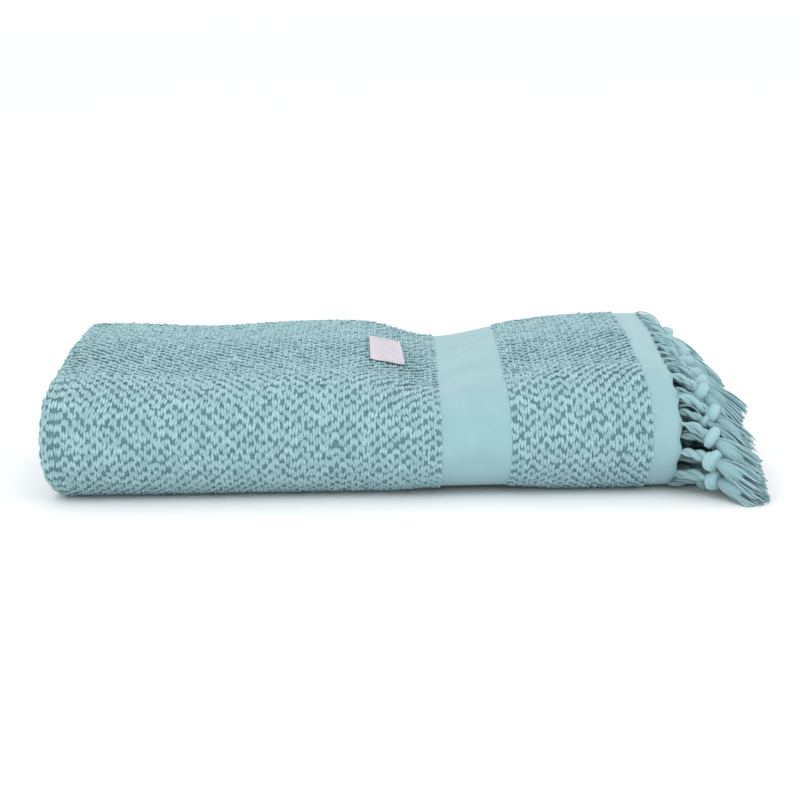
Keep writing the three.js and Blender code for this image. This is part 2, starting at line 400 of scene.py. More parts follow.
def walked(line: Array) -> Array:
    """The distance walked along a line at each of its points."""
    return np.r_[0, np.cumsum(np.linalg.norm(np.diff(line, axis=0), axis=1))]


def along_line(at: Array, walk: Array, values: Array) -> Array:
    """Vectors of a line between its points.

    Args:
        at: The distances walked where they are wanted.
        walk: The distances walked at the line's points.
        values: One vector for each of the line's points.

    Returns:
        One vector for each distance.
    """
    return np.stack([np.interp(at, walk, values[:, axis]) for axis in range(3)], -1)


# ---- Node trees ----


@dataclass
class Tree:
    """A node tree that is built in a few words."""

    tree: bpy.types.NodeTree

    def add(self, kind: str, inputs: dict[str | int, object] | None = None, **settings: object) -> Node:
        """A new node.

        Args:
            kind: The node's type.
            inputs: Values for its sockets, or output sockets to link to them.
            **settings: Properties of the node.

        Returns:
            The node.
        """
        node = self.tree.nodes.new(kind)
        for key, value in settings.items():
            setattr(node, key, value)
        for key, value in (inputs or {}).items():
            self.feed(node.inputs[key], value)
        return node

    def feed(self, socket: Socket, value: object) -> None:
        """Gives a socket its input.

        Args:
            socket: The socket.
            value: The value that it is set to, or an output that is linked to it.
        """
        if isinstance(value, bpy.types.NodeSocket):
            self.tree.links.new(value, socket)
        else:
            socket.default_value = value

    def math(self, operation: str, *values: object) -> Socket:
        """The result of a Math node."""
        node = self.add("ShaderNodeMath", dict(enumerate(values)), operation=operation)
        return node.outputs[0]

    def vector(self, operation: str, *values: object) -> Socket:
        """The result of a Vector Math node."""
        node = self.add("ShaderNodeVectorMath", dict(enumerate(values)), operation=operation)
        return node.outputs[0]

    def mix(self, share: object, first: object, second: object) -> Socket:
        """A colour between two others.

        Args:
            share: 0 for the first, 1 for the second.
            first: A colour or a socket.
            second: A colour or a socket.

        Returns:
            The mixed colour.
        """
        node = self.add("ShaderNodeMix", data_type="RGBA")
        for name, value in (("Factor_Float", share), ("A_Color", first), ("B_Color", second)):
            self.feed(next(s for s in node.inputs if s.identifier == name), value)
        return next(s for s in node.outputs if s.identifier == "Result_Color")

    def ramp(self, value: Socket, low: float, high: float, start: float = 0.0, end: float = 1.0) -> Socket:
        """A value moved from one range to another, and held inside it.

        Args:
            value: The value.
            low: Where its range starts.
            high: Where its range ends.
            start: The result at low.
            end: The result at high.

        Returns:
            The result.
        """
        inputs = {0: value, 1: low, 2: high, 3: start, 4: end}
        return self.add("ShaderNodeMapRange", inputs).outputs[0]


@dataclass
class GeometryTree(Tree):
    """A Geometry Nodes tree with named inputs."""

    names: dict[str, str] = field(default_factory=dict)
    source: Node | None = None

    @classmethod
    def new(cls, name: str, sockets: dict[str, str]) -> "GeometryTree":
        """An empty tree with the input Geometry and the output Geometry.

        Args:
            name: The tree's name.
            sockets: Its other inputs, each with its type.

        Returns:
            The tree.
        """
        made = cls(bpy.data.node_groups.new(name, "GeometryNodeTree"))
        for label, kind in {"Geometry": "NodeSocketGeometry", **sockets}.items():
            socket = made.tree.interface.new_socket(name=label, in_out="INPUT", socket_type=kind)
            made.names[label] = socket.identifier
        made.tree.interface.new_socket(name="Geometry", in_out="OUTPUT", socket_type="NodeSocketGeometry")
        made.source = made.add("NodeGroupInput")
        return made

    def value(self, label: str) -> Socket:
        """One of the tree's own inputs."""
        return self.source.outputs[label]

    def attribute(self, name: str, kind: str = "FLOAT") -> Socket:
        """A named attribute of the geometry."""
        node = self.add("GeometryNodeInputNamedAttribute", {"Name": name}, data_type=kind)
        return node.outputs["Attribute"]

    def chance(self, low: Socket | float, high: Socket | float, shift: int) -> Socket:
        """A random number for each point, which follows the tree's input Seed.

        Args:
            low: The least.
            high: The most.
            shift: What is added to the seed, so that no two chances are alike.

        Returns:
            The number.
        """
        node = self.add("FunctionNodeRandomValue", {2: low, 3: high}, data_type="FLOAT")
        self.feed(node.inputs["Seed"], self.math("ADD", self.value("Seed"), shift))
        return node.outputs[1]

    def store(self, geometry: Socket, name: str, value: Socket, **settings: str) -> Socket:
        """Stores a value of the geometry.

        Args:
            geometry: The geometry.
            name: The name that the value is stored under.
            value: The value.
            **settings: The value's data_type and domain.

        Returns:
            The geometry with the value.
        """
        node = self.add("GeometryNodeStoreNamedAttribute", {"Name": name}, **settings)
        self.feed(node.inputs["Geometry"], geometry)
        self.feed(node.inputs["Value"], value)
        return node.outputs[0]

    def close(self, geometry: Socket) -> None:
        """Ends the tree in Realize Instances, smooth shading and Set Material.

        Args:
            geometry: What the tree has made.
        """
        real = self.add("GeometryNodeRealizeInstances", {"Geometry": geometry}).outputs[0]
        smooth = self.add("GeometryNodeSetShadeSmooth", {"Geometry": real}).outputs[0]
        inputs = {"Geometry": smooth, "Material": self.value("Material")}
        dressed = self.add("GeometryNodeSetMaterial", inputs).outputs[0]
        self.add("NodeGroupOutput", {"Geometry": dressed})

    def grow(self, source: Object, name: str, values: dict[str, object]) -> Object:
        """The plain mesh that the tree makes of a source object, which is removed.

        Args:
            source: The object whose mesh goes in.
            name: The finished object's name.
            values: The tree's inputs by name.

        Returns:
            A new object with the result, and no modifier.
        """
        modifier = source.modifiers.new("grow", "NODES")
        modifier.node_group = self.tree
        for label, value in values.items():
            modifier[self.names[label]] = value
        graph = bpy.context.evaluated_depsgraph_get()
        grown = source.evaluated_get(graph)
        mesh = bpy.data.meshes.new_from_object(grown, preserve_all_data_layers=True, depsgraph=graph)
        bpy.data.objects.remove(source)
        mesh.name = name
        return linked(name, mesh)


@dataclass(frozen=True)
class Loops:
    """The three loops of yarn in one woven pebble, as shares of its half width, half length and height."""

    kinds: int = 5
    apart: float = 0.6
    strays: tuple[float, float, float] = (0.06, 0.1, 0.05)
    half_width: tuple[float, float] = (0.38, 0.48)
    half_length: float = 0.95
    length_varies: float = 0.07
    rise: tuple[float, float] = (0.84, 1.08)
    leans: float = 0.12
    turns: float = 0.2
    wobble: tuple[float, float, float] = (0.9, 0.9, 1.5)
    wobble_seed: int = 5
    tone_seed: int = 9

    def bundles(self, tree: GeometryTree) -> Socket:
        """The kinds of pebble, as instances to pick from.

        Args:
            tree: The tree that they are built in.

        Returns:
            The instances. Each point of them knows its place in its loop as pebble_place.
        """
        ball = tree.add("GeometryNodeMeshIcoSphere", {"Radius": 1.0, "Subdivisions": 1}).outputs["Mesh"]
        position = tree.add("GeometryNodeInputPosition").outputs[0]
        ball = tree.store(ball, "pebble_place", position, data_type="FLOAT_VECTOR")
        kinds = tree.add("GeometryNodeJoinGeometry")
        rng = np.random.default_rng(SEED)
        for _ in range(self.kinds):
            loops = tree.add("GeometryNodeJoinGeometry")
            for side in (-1, 0, 1):
                place = np.array([self.apart * side, 0, 0]) + rng.normal(0, self.strays)
                size = (rng.uniform(*self.half_width), rng.normal(self.half_length, self.length_varies),
                        rng.uniform(*self.rise))
                turned = (rng.normal(0, self.leans), 0.0, rng.normal(0, self.turns))
                inputs = {"Geometry": ball, "Translation": place, "Rotation": turned, "Scale": size}
                tree.feed(loops.inputs[0], tree.add("GeometryNodeTransform", inputs).outputs[0])
            kind = tree.add("GeometryNodeGeometryToInstance", {0: loops.outputs[0]}).outputs[0]
            tree.feed(kinds.inputs[0], kind)
        return kinds.outputs[0]

    def turn(self, tree: GeometryTree) -> Socket:
        """The turn of each pebble: square to the cloth and along its row, with a wobble.

        Args:
            tree: The tree that it is built in.

        Returns:
            The rotation.
        """
        rough = tree.value("Unevenness")
        wobble = tree.add("ShaderNodeCombineXYZ", {
            axis: tree.math("MULTIPLY", tree.chance(-1.0, 1.0, self.wobble_seed + axis),
                            tree.math("MULTIPLY", rough, most))
            for axis, most in enumerate(self.wobble)
        }).outputs[0]
        axes = {
            "Primary Axis": tree.attribute("pebble_up", "FLOAT_VECTOR"),
            "Secondary Axis": tree.attribute("pebble_along", "FLOAT_VECTOR"),
        }
        laid = tree.add("FunctionNodeAxesToRotation", axes).outputs[0]
        extra = tree.add("FunctionNodeEulerToRotation", {0: wobble}).outputs[0]
        inputs = {"Rotation": laid, "Rotate By": extra}
        return tree.add("FunctionNodeRotateRotation", inputs, rotation_space="LOCAL").outputs[0]

    def tree(self) -> GeometryTree:
        """The tree that sets one pebble on each point of a mesh.

        The points hold the directions pebble_up and pebble_along and the share pebble_long.

        Returns:
            The tree.
        """
        made = GeometryTree.new("woven_pebbles", {
            "Width": "NodeSocketFloat", "Length": "NodeSocketFloat", "Height": "NodeSocketFloat",
            "Unevenness": "NodeSocketFloat", "Seed": "NodeSocketInt", "Material": "NodeSocketMaterial",
        })
        rough = made.value("Unevenness")
        least, most = made.math("SUBTRACT", 1.0, rough), made.math("ADD", 1.0, rough)
        sizes = [
            made.math("MULTIPLY", made.value(label), made.chance(least, most, shift))
            for shift, label in enumerate(("Width", "Length", "Height"))
        ]
        sizes[1] = made.math("MULTIPLY", sizes[1], made.attribute("pebble_long"))
        kind = made.add("FunctionNodeRandomValue", {4: 0, 5: self.kinds - 1}, data_type="INT")
        made.feed(kind.inputs["Seed"], made.value("Seed"))
        laid = made.add("GeometryNodeInstanceOnPoints", {
            "Points": made.value("Geometry"), "Instance": self.bundles(made), "Pick Instance": True,
            "Instance Index": kind.outputs[2], "Rotation": self.turn(made),
            "Scale": made.add("ShaderNodeCombineXYZ", dict(enumerate(sizes))).outputs[0],
        }).outputs[0]
        tone = made.chance(0.0, 1.0, self.tone_seed)
        made.close(made.store(laid, "pebble_tone", tone, data_type="FLOAT", domain="INSTANCE"))
        return made


def yarn_tree() -> GeometryTree:
    """A tree that turns loose edges into round yarns. The points hold yarn_radius."""
    sockets = {"Sides": "NodeSocketInt", "Material": "NodeSocketMaterial"}
    made = GeometryTree.new("yarn_along_paths", sockets)
    curve = made.add("GeometryNodeMeshToCurve", {"Mesh": made.value("Geometry")}).outputs[0]
    inputs = {"Resolution": made.value("Sides"), "Radius": 1.0}
    ring = made.add("GeometryNodeCurvePrimitiveCircle", inputs, mode="RADIUS").outputs[0]
    position = made.add("GeometryNodeInputPosition").outputs[0]
    profile = made.store(ring, "yarn_round", position, data_type="FLOAT_VECTOR")
    inputs = {
        "Curve": curve, "Profile Curve": profile, "Scale": made.attribute("yarn_radius"), "Fill Caps": True,
    }
    made.close(made.add("GeometryNodeCurveToMesh", inputs).outputs[0])
    return made


@dataclass
class Yarns:
    """Yarns that one piece is made of: their paths in millimetres, with values for each of their points."""

    paths: list[Array] = field(default_factory=list)
    values: dict[str, list[Array]] = field(default_factory=dict)

    def add(self, path: Array, radius: Array | float, tone: float, end: Array | float, along: Array) -> None:
        """Adds one yarn.

        Args:
            path: Its points.
            radius: Its radius at each of them, in millimetres.
            tone: How light it is, from 0 to 1; on the tassels it paints shade inside a bundle and highlight
                on stem and knot.
            end: How much of a cut end's paler tone it has.
            along: The distance along it, which its streaks follow.
        """
        self.paths.append(path)
        lot = {"radius": np.asarray(radius) * MM, "tone": tone, "end": end, "along": along}
        for key, value in lot.items():
            self.values.setdefault("yarn_" + key, []).append(np.broadcast_to(value, (len(path),)))

    def join(self, other: "Yarns") -> None:
        """Takes over all the yarns of another lot."""
        self.paths += other.paths
        for key, lot in other.values.items():
            self.values.setdefault(key, []).extend(lot)

    def grow(self, name: str, tree: GeometryTree, sides: int, material: Material) -> Object:
        """Makes the piece.

        Args:
            name: Its name.
            tree: The tree that turns edges into yarns.
            sides: How many sides a yarn has.
            material: The piece's material.

        Returns:
            The piece.
        """
        edges, start = [], 0
        for path in self.paths:
            steps = np.arange(start, start + len(path) - 1)
            edges.append(np.stack([steps, steps + 1], -1))
            start += len(path)
        source = mesh_object(name + "_paths", np.concatenate(self.paths), edges=np.concatenate(edges))
        for key, parts in self.values.items():
            add_attribute(source, key, np.concatenate(parts))
        return tree.grow(source, name, {"Sides": sides, "Material": material})


# ---- Finishes ----


def fibre_group() -> ShaderGroup:
    """A shader group: fine fibres that run along Z of the given coordinates.

    Its outputs are Height, for a bump, and Tone, a slow change of colour.
    """
    tree = bpy.data.node_groups.new("cotton_fibres", "ShaderNodeTree")
    made = Tree(tree)
    tree.interface.new_socket(name="Vector", in_out="INPUT", socket_type="NodeSocketVector")
    for label in ("Fineness", "Stretch", "Drift"):
        tree.interface.new_socket(name=label, in_out="INPUT", socket_type="NodeSocketFloat")
    for label in ("Height", "Tone"):
        tree.interface.new_socket(name=label, in_out="OUTPUT", socket_type="NodeSocketFloat")
    source = made.add("NodeGroupInput").outputs
    stretch = made.add("ShaderNodeCombineXYZ", {0: 1.0, 1: 1.0, 2: source["Stretch"]}).outputs[0]
    along = made.vector("MULTIPLY", source["Vector"], stretch)
    inputs = {"Vector": along, "Scale": source["Fineness"], "Detail": 3.0, "Roughness": 0.6}
    fibres = made.add("ShaderNodeTexNoise", inputs).outputs[0]
    inputs = {"Vector": source["Vector"], "Scale": source["Drift"], "Detail": 2.0}
    slow = made.add("ShaderNodeTexNoise", inputs).outputs[0]
    made.add("NodeGroupOutput", {"Height": fibres, "Tone": slow})
    return tree


@dataclass(frozen=True)
class Finish:
    """What every woven finish of the towel shares."""

    name: str
    light: Colour
    dark: Colour
    roughness: float = 0.93
    sheen: float = 0.25
    sheen_roughness: float = 0.55
    specular: float = 0.18

    def start(self) -> tuple[Material, Tree, Node]:
        """A new material with its tree and its main shader."""
        material = bpy.data.materials.new(self.name)
        material.use_nodes = True
        tree = Tree(material.node_tree)
        shader = material.node_tree.nodes["Principled BSDF"]
        shader.inputs["Roughness"].default_value = self.roughness
        shader.inputs["Sheen Weight"].default_value = self.sheen
        shader.inputs["Sheen Roughness"].default_value = self.sheen_roughness
        shader.inputs["Specular IOR Level"].default_value = self.specular
        return material, tree, shader

    def bump(self, tree: Tree, shader: Node, height: Socket, distance: float, strength: float) -> None:
        """Feeds a height to the shader's normal.

        Args:
            tree: The material's tree.
            shader: Its main shader.
            height: The height.
            distance: How many metres a height of 1 stands for.
            strength: How much of it shows.
        """
        inputs = {"Height": height, "Distance": distance, "Strength": strength}
        tree.feed(shader.inputs["Normal"], tree.add("ShaderNodeBump", inputs).outputs[0])

    def vector(self, tree: Tree, name: str) -> Socket:
        """A named vector of the piece."""
        return tree.add("ShaderNodeAttribute", attribute_name=name).outputs["Vector"]

    def number(self, tree: Tree, name: str) -> Socket:
        """A named number of the piece."""
        return tree.add("ShaderNodeAttribute", attribute_name=name).outputs["Fac"]

    def wave(self, tree: Tree, along: Socket, length: float) -> Socket:
        """A sine wave of the given length along a coordinate."""
        return tree.math("SINE", tree.math("MULTIPLY", along, 2 * math.pi / length))

    def streaks(self, tree: Tree, fibres: ShaderGroup, **values: object) -> dict[str, Socket]:
        """Fibres of the shader group.

        Args:
            tree: The material's tree.
            fibres: The group.
            **values: Its inputs by name.

        Returns:
            Its outputs Height and Tone.
        """
        node = tree.add("ShaderNodeGroup", node_tree=fibres)
        for label, value in values.items():
            tree.feed(node.inputs[label], value)
        return node.outputs


@dataclass(frozen=True)
class PebbleFinish(Finish):
    """Loops of soft yarn standing up from the weave: painted highlight on top, painted shade where they
    meet.
    """

    # Painted highlight: the colour that the tops of the pebbles lighten towards.
    top_highlight: Colour = (0.5, 0.5, 0.5, 1.0)
    seed_reach: float = 40.0

    def build(self, fibres: ShaderGroup) -> Material:
        """Makes the material.

        Args:
            fibres: The shader group of cotton fibres.

        Returns:
            The material.
        """
        material, tree, shader = self.start()
        tone = self.number(tree, "pebble_tone")
        split = tree.add("ShaderNodeSeparateXYZ", {0: self.vector(tree, "pebble_place")}).outputs
        turned = tree.add("ShaderNodeCombineXYZ", {0: split[0], 1: split[2], 2: split[1]}).outputs[0]
        shifts = {i: tree.math("MULTIPLY", tone, self.seed_reach + i) for i in range(3)}
        coordinates = tree.vector("ADD", turned, tree.add("ShaderNodeCombineXYZ", shifts).outputs[0])
        streaks = self.streaks(tree, fibres, Vector=coordinates, Fineness=3.4, Stretch=0.22, Drift=1.6)
        # Painted shade: each pebble darkens towards its base, where it meets its neighbours and the ground.
        rise = tree.ramp(split[2], -0.1, 0.6)
        rise = tree.math("ADD", rise, tree.ramp(streaks["Height"], 0.3, 0.7, -0.25, 0.2))
        colour = tree.mix(tree.ramp(rise, 0.0, 1.0), self.dark, self.light)
        # Painted highlight: the top of each pebble lightens towards the top colour, more on some pebbles
        # than others.
        highlight_share = tree.ramp(tree.math("ADD", tone, streaks["Tone"]), 0.6, 1.4, 0.0, 0.75)
        highlight_share = tree.math("MULTIPLY", highlight_share, tree.ramp(split[2], 0.35, 0.95))
        tree.feed(shader.inputs["Base Color"], tree.mix(highlight_share, colour, self.top_highlight))
        self.bump(tree, shader, streaks["Height"], 0.0007, 0.9)
        return material


@dataclass(frozen=True)
class FlatFinish(Finish):
    """The flat weave of the bands and hems, and the darker ground under the pebbles, which is painted shade.
    """

    # Painted shade: the darker colour that the ground weave takes under the pebbles and on the hidden plies.
    ground: Colour = (0.1, 0.1, 0.1, 1.0)
    rib: float = 1.15
    pick: float = 0.8

    def build(self, fibres: ShaderGroup) -> Material:
        """Makes the material.

        Args:
            fibres: The shader group of cotton fibres.

        Returns:
            The material.
        """
        material, tree, shader = self.start()
        cloth = self.vector(tree, "cloth_place")
        split = tree.add("ShaderNodeSeparateXYZ", {0: cloth}).outputs
        ribs, picks = self.wave(tree, split[1], self.rib), self.wave(tree, split[0], self.pick)
        over = tree.math("MULTIPLY", ribs, picks)
        drift = self.streaks(tree, fibres, Vector=cloth, Fineness=0.8, Stretch=1.0, Drift=0.035)
        inputs = {"Vector": tree.vector("MULTIPLY", cloth, (0.04, 1.4, 1.0)), "Scale": 1.0, "Detail": 2.0}
        uneven = tree.add("ShaderNodeTexNoise", inputs).outputs[0]
        height = tree.math("ADD", tree.math("MULTIPLY", over, 0.3), drift["Height"])
        height = tree.math("ADD", height, tree.math("MULTIPLY", uneven, 1.3))
        shade = tree.math("ADD", tree.math("MULTIPLY", over, 0.06), drift["Tone"])
        shade = tree.math("ADD", shade, tree.math("MULTIPLY", uneven, 0.35))
        flat = tree.mix(tree.ramp(shade, 0.35, 0.95), self.dark, self.light)
        # Painted shade: below 1 on flat_weave the colour goes towards the darker ground colour.
        colour = tree.mix(self.number(tree, "flat_weave"), self.ground, flat)
        tree.feed(shader.inputs["Base Color"], colour)
        self.bump(tree, shader, height, 0.00016, 0.8)
        return material


@dataclass(frozen=True)
class YarnFinish(Finish):
    """Twisted and loose cotton yarn, darker with painted shade inside a bundle and paler at its cut ends."""

    tip: Colour = (0.6, 0.6, 0.6, 1.0)

    def build(self, fibres: ShaderGroup) -> Material:
        """Makes the material.

        Args:
            fibres: The shader group of cotton fibres.

        Returns:
            The material.
        """
        material, tree, shader = self.start()
        lift = tree.add("ShaderNodeCombineXYZ", {2: self.number(tree, "yarn_along")}).outputs[0]
        turn = tree.vector("MULTIPLY", self.vector(tree, "yarn_round"), (1.6, 1.6, 0.0))
        coordinates = tree.vector("ADD", turn, lift)
        streaks = self.streaks(tree, fibres, Vector=coordinates, Fineness=2.3, Stretch=0.16, Drift=0.4)
        share = tree.ramp(streaks["Height"], 0.3, 0.7, -0.22, 0.16)
        # yarn_tone holds painted shade inside a tassel and painted highlight on its stem and knot.
        share = tree.math("ADD", self.number(tree, "yarn_tone"), share)
        colour = tree.mix(tree.ramp(share, 0.0, 1.0), self.dark, self.light)
        colour = tree.mix(self.number(tree, "yarn_end"), colour, self.tip)
        tree.feed(shader.inputs["Base Color"], colour)
        self.bump(tree, shader, streaks["Height"], 0.0005, 0.8)
        return material


@dataclass(frozen=True)
class SatinFinish(Finish):
    """The label's woven tape: fine ribs across it and slightly paler folded edges."""

    rib: float = 0.55

    def build(self, fibres: ShaderGroup) -> Material:
        """Makes the material.

        Args:
            fibres: The shader group of cotton fibres.

        Returns:
            The material.
        """
        material, tree, shader = self.start()
        place = self.vector(tree, "tape_place")
        split = tree.add("ShaderNodeSeparateXYZ", {0: place}).outputs
        rib = self.wave(tree, split[1], self.rib)
        drift = self.streaks(tree, fibres, Vector=place, Fineness=1.2, Stretch=1.0, Drift=0.09)
        edge = tree.ramp(self.number(tree, "tape_edge"), 0.55, 1.0)
        share = tree.math("ADD", tree.math("MULTIPLY", rib, 0.08), drift["Tone"])
        share = tree.math("ADD", tree.ramp(share, 0.3, 0.7, 0.0, 0.8), tree.math("MULTIPLY", edge, 0.5))
        colour = tree.mix(tree.ramp(share, 0.0, 1.0), self.dark, self.light)
        tree.feed(shader.inputs["Base Color"], colour)
        height = tree.math("ADD", tree.math("MULTIPLY", rib, 0.3), drift["Height"])
        self.bump(tree, shader, height, 0.00012, 0.7)
        return material


@dataclass(frozen=True)
class ShelfFinish(Finish):
    """A plain pale floor with a faint unevenness."""

    def build(self) -> Material:
        """Makes the material."""
        material, tree, shader = self.start()
        where = tree.add("ShaderNodeTexCoord").outputs["Object"]
        cloud = tree.add("ShaderNodeTexNoise", {"Vector": where, "Scale": 2.0}).outputs[0]
        tree.feed(shader.inputs["Base Color"], tree.mix(cloud, self.dark, self.light))
        return material


@dataclass(frozen=True)
class Wardrobe:
    """All the materials, each built once."""

    pebble: Material
    flat: Material
    yarn: Material
    inner_yarn: Material
    satin: Material
    thread: Material
    floor: Material

    @classmethod
    def new(cls) -> "Wardrobe":
        """Builds every material."""
        finishes = {
            # Painted shade and highlight: the pebbles' dark colour is shade at their bases, the top colour a
            # highlight on their tops.
            "pebble": PebbleFinish("pebbled_cotton", linear(159, 198, 204), linear(100, 139, 146),
                                   top_highlight=linear(182, 218, 224)),
            # Painted shade: the ground colour darkens the cloth under the pebbles and on the hidden plies.
            "flat": FlatFinish("flat_woven_cotton", linear(152, 188, 193), linear(139, 177, 182),
                               ground=linear(98, 136, 143)),
            "yarn": YarnFinish("fringe_cotton", linear(160, 197, 203), linear(124, 162, 168),
                               tip=linear(170, 206, 211)),
            # Painted shade: a darker copy of the fringe cotton for the rows between the plies.
            "inner_yarn": YarnFinish("shaded_inner_fringe_cotton", linear(150, 188, 193), linear(105, 144, 150),
                                     tip=linear(158, 194, 199)),
            "satin": SatinFinish("label_tape", linear(208, 201, 210), linear(192, 186, 196),
                                 roughness=0.55, sheen=0.1),
            "thread": YarnFinish("stitching", linear(204, 200, 208), linear(170, 166, 176),
                                 roughness=0.6, sheen=0.1, tip=linear(204, 200, 208)),
        }
        fibres = fibre_group()
        floor = ShelfFinish("pale_floor", linear(251, 251, 251), linear(249, 249, 249), 0.9, 0.0).build()
        return cls(floor=floor, **{name: finish.build(fibres) for name, finish in finishes.items()})


def dress(piece: Object, slot: Slot, body: str, *nodes: str) -> Object:
    """Lets a finished piece ride on a body.

    Args:
        piece: The piece.
        slot: Its material slot in the record; not used.
        body: The body.
        *nodes: The CAD nodes that it takes the place of.

    Returns:
        The piece.
    """
    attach(piece, body)
    if nodes:
        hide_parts(*nodes)
    LOG.info("%s: %d faces on %s", piece.name, len(piece.data.polygons), body)
    return piece


# ---- The cloth ----


@dataclass
class Cloth:
    """The one woven cloth, closed through all its folds. Its pebbles are pieces of their own."""

    stack: Stack
    ground_height: float = 1.1
    inner_half: float = 2.35
    step: float = 4.6
    hidden_step: float = 30.0
    least_steps: int = 8
    fold_steps: int = 12
    small_fold_steps: int = 8
    weave_edge: float = 1.0
    weave_change: float = 0.45
    clear_of_edge: float = 2.0
    scallop: float = 1.3
    scallop_reach: float = 9.0
    pitch: float = 20.0
    thin_selvedge: float = 0.55
    thin_hem: float = 0.6
    weave_bulge: float = 14.0
    inner_shift: float = 500.0

    def across(self) -> tuple[Array, Array]:
        """Stations from one selvedge to the other.

        Returns:
            The stations, and their distance along the outer ply from the start of their row of tassels.
        """
        rows, paths = [], []
        path = 0.0
        for run in Run:
            if run is Run.SECOND:
                path = 0.0
            length = self.stack.length(run, self.stack.outer_ply)
            middle = self.stack.length(run, 2 * self.stack.ply)
            steps = max(self.least_steps, round(middle / self.step))
            t = np.linspace(0, 1, steps + 1)
            if run is not Run.BASE:
                t = t[1:]
            rows.append(self.stack.station(run, t))
            paths.append(path + t * length)
            path += length
        return np.concatenate(rows), np.concatenate(paths)

    def flat(self, start: float, end: float, h: float, up: float) -> Stops:
        """Stops along a straight ply.

        Args:
            start: Where it starts.
            end: Where it ends.
            h: Its height over the bundle's inner face.
            up: 1 where the cloth's outer face looks away from that face, -1 where it looks towards it.

        Returns:
            Rows of place, height, face direction (along, up) and ply kind (1 outer, 0 inner). The outer ply
            has extra stops where its weave changes.
        """
        s = self.stack
        outer = float(h == s.outer_ply)
        step = self.step if outer else self.hidden_step
        stops = set(np.linspace(start, end, max(2, round(abs(end - start) / step) + 1)).tolist())
        if outer:
            marks = (s.band_near, s.band_far, s.hem - s.hem_strip)
            near, far = self.weave_change, self.weave_edge
            stops = {x for x in stops if all(abs(x - m) > self.clear_of_edge for m in marks)}
            stops |= {m + shift for m in marks for shift in (-far, -near, 0.0, near, far)}
        return [(x, h, 0.0, up, outer) for x in sorted(stops, reverse=end < start)]

    def bend(self, x: float, h: float, radius: float, start: float, end: float, out: float) -> Stops:
        """Stops round a fold of a ply.

        Args:
            x: The fold's centre.
            h: Its height over the bundle's inner face.
            radius: The fold's radius.
            start: The angle where it starts.
            end: The angle where it ends.
            out: 1 where the cloth's outer face looks away from the centre, -1 where it looks towards it.

        Returns:
            Rows as flat gives them.
        """
        outer = float(radius > self.stack.ply)
        steps = self.fold_steps if outer else self.small_fold_steps
        rows = []
        for angle in np.linspace(start, end, steps + 1)[1:-1]:
            c, s = math.cos(angle), math.sin(angle)
            rows.append((x + radius * c, h + radius * s, out * c, out * s, outer))
        return rows

    def along(self) -> Array:
        """Stations from the outer hem round the folds to the inner hem.

        Returns:
            Rows of place, height, face direction (along, up), ply kind (1 outer, 0 inner) and walked length.
        """
        s = self.stack
        closed, first = s.fold_x, s.hem - s.ply
        stops = self.flat(s.hem, closed, s.outer_ply, 1)
        stops += self.bend(closed, 2 * s.ply, 1.5 * s.ply, QUARTER_TURN, 3 * QUARTER_TURN, 1)
        stops += self.flat(closed, first, 0.5 * s.ply, -1)
        stops += self.bend(first, s.ply, 0.5 * s.ply, -QUARTER_TURN, QUARTER_TURN, 1)
        stops += self.flat(first, closed, 1.5 * s.ply, 1)
        stops += self.bend(closed, 2 * s.ply, 0.5 * s.ply, 3 * QUARTER_TURN, QUARTER_TURN, -1)
        stops += self.flat(closed, s.hem - s.hem_setback, 2.5 * s.ply, -1)
        rows = np.array(stops)
        steps = np.hypot(*np.diff(rows[:, :2], axis=0).T)
        return np.column_stack([rows, np.r_[0, np.cumsum(steps)]])

    def flat_weave(self, x: Array) -> Array:
        """1 on the band and on the hem strip, 0 on the pebbled field."""
        s = self.stack
        edges = ((s.band_near, 1), (s.band_far, -1), (s.hem - s.hem_strip, 1))
        return sum(sign * smoothstep(x, edge - 0.5, edge + 0.5) for edge, sign in edges)

    def sides(self, along: Array, across: Array, path: Array) -> list[Array]:
        """The cloth's outer and inner side, thinner at its edges and drawn in by the tassels at the hem.

        Args:
            along: Stations from hem to hem.
            across: Stations from selvedge to selvedge.
            path: The distance that goes with each of them.

        Returns:
            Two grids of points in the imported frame.
        """
        x, h, dx, dh, outer, walked = (column[:, None] for column in along.T)
        from_end = np.minimum(walked, walked[-1] - walked)
        phase = np.where(np.arange(len(x)) < (len(x) - 1) / 2, 0.5, 0.0)[:, None]
        wave = np.cos(2 * math.pi * (path / self.pitch - phase))
        shift = self.scallop * np.exp(-((from_end / self.scallop_reach) ** 2)) * (wave - 1)
        thin = np.ones(len(path))
        thin[[0, -1]] = self.thin_selvedge
        thin = thin * np.where(from_end < 0.01, self.thin_hem, 1.0)
        made = []
        for sign in (1, -1):
            reach = sign * thin * np.where((outer > 0) & (sign > 0), self.ground_height, self.inner_half)
            points = self.stack.place(x + reach * dx + shift, across[None], h + reach * dh)
            made.append(points + self.stack.offset())
        return made

    def build(self, wardrobe: Wardrobe) -> Object:
        """Makes the cloth.

        Args:
            wardrobe: The materials.

        Returns:
            The cloth.
        """
        across, path = self.across()
        along = self.along()
        made = mesh_object("woven_cloth", *closed_sheet(*self.sides(along, across, path)))
        x, outer, walked = along[:, 0], along[:, 4], along[:, 5]
        # Painted shade: the pebbled field, the hidden plies and the inner face take the darker ground
        # colour.
        bare = np.where(outer > 0, self.flat_weave(x), INNER_SHADE_MIX)
        bare[0] = 1.0
        bare = np.repeat(bare, len(path))
        add_attribute(made, "flat_weave", np.concatenate([bare, np.full(len(bare), INNER_SHADE_MIX)]))
        steps = np.diff(across[:, :2] + self.weave_bulge * across[:, 2:], axis=0)
        v = np.r_[0, np.cumsum(np.hypot(*steps.T))]
        place = np.stack([np.repeat(walked, len(path)), np.tile(v, len(x)), np.zeros(len(bare))], -1)
        under = place + np.array([self.inner_shift, 0, 0])
        add_attribute(made, "cloth_place", np.concatenate([place, under]))
        made.data.materials.append(wardrobe.flat)
        return dress(made, Slot.COTTON, FIXED_BODY, "towel_cloth")


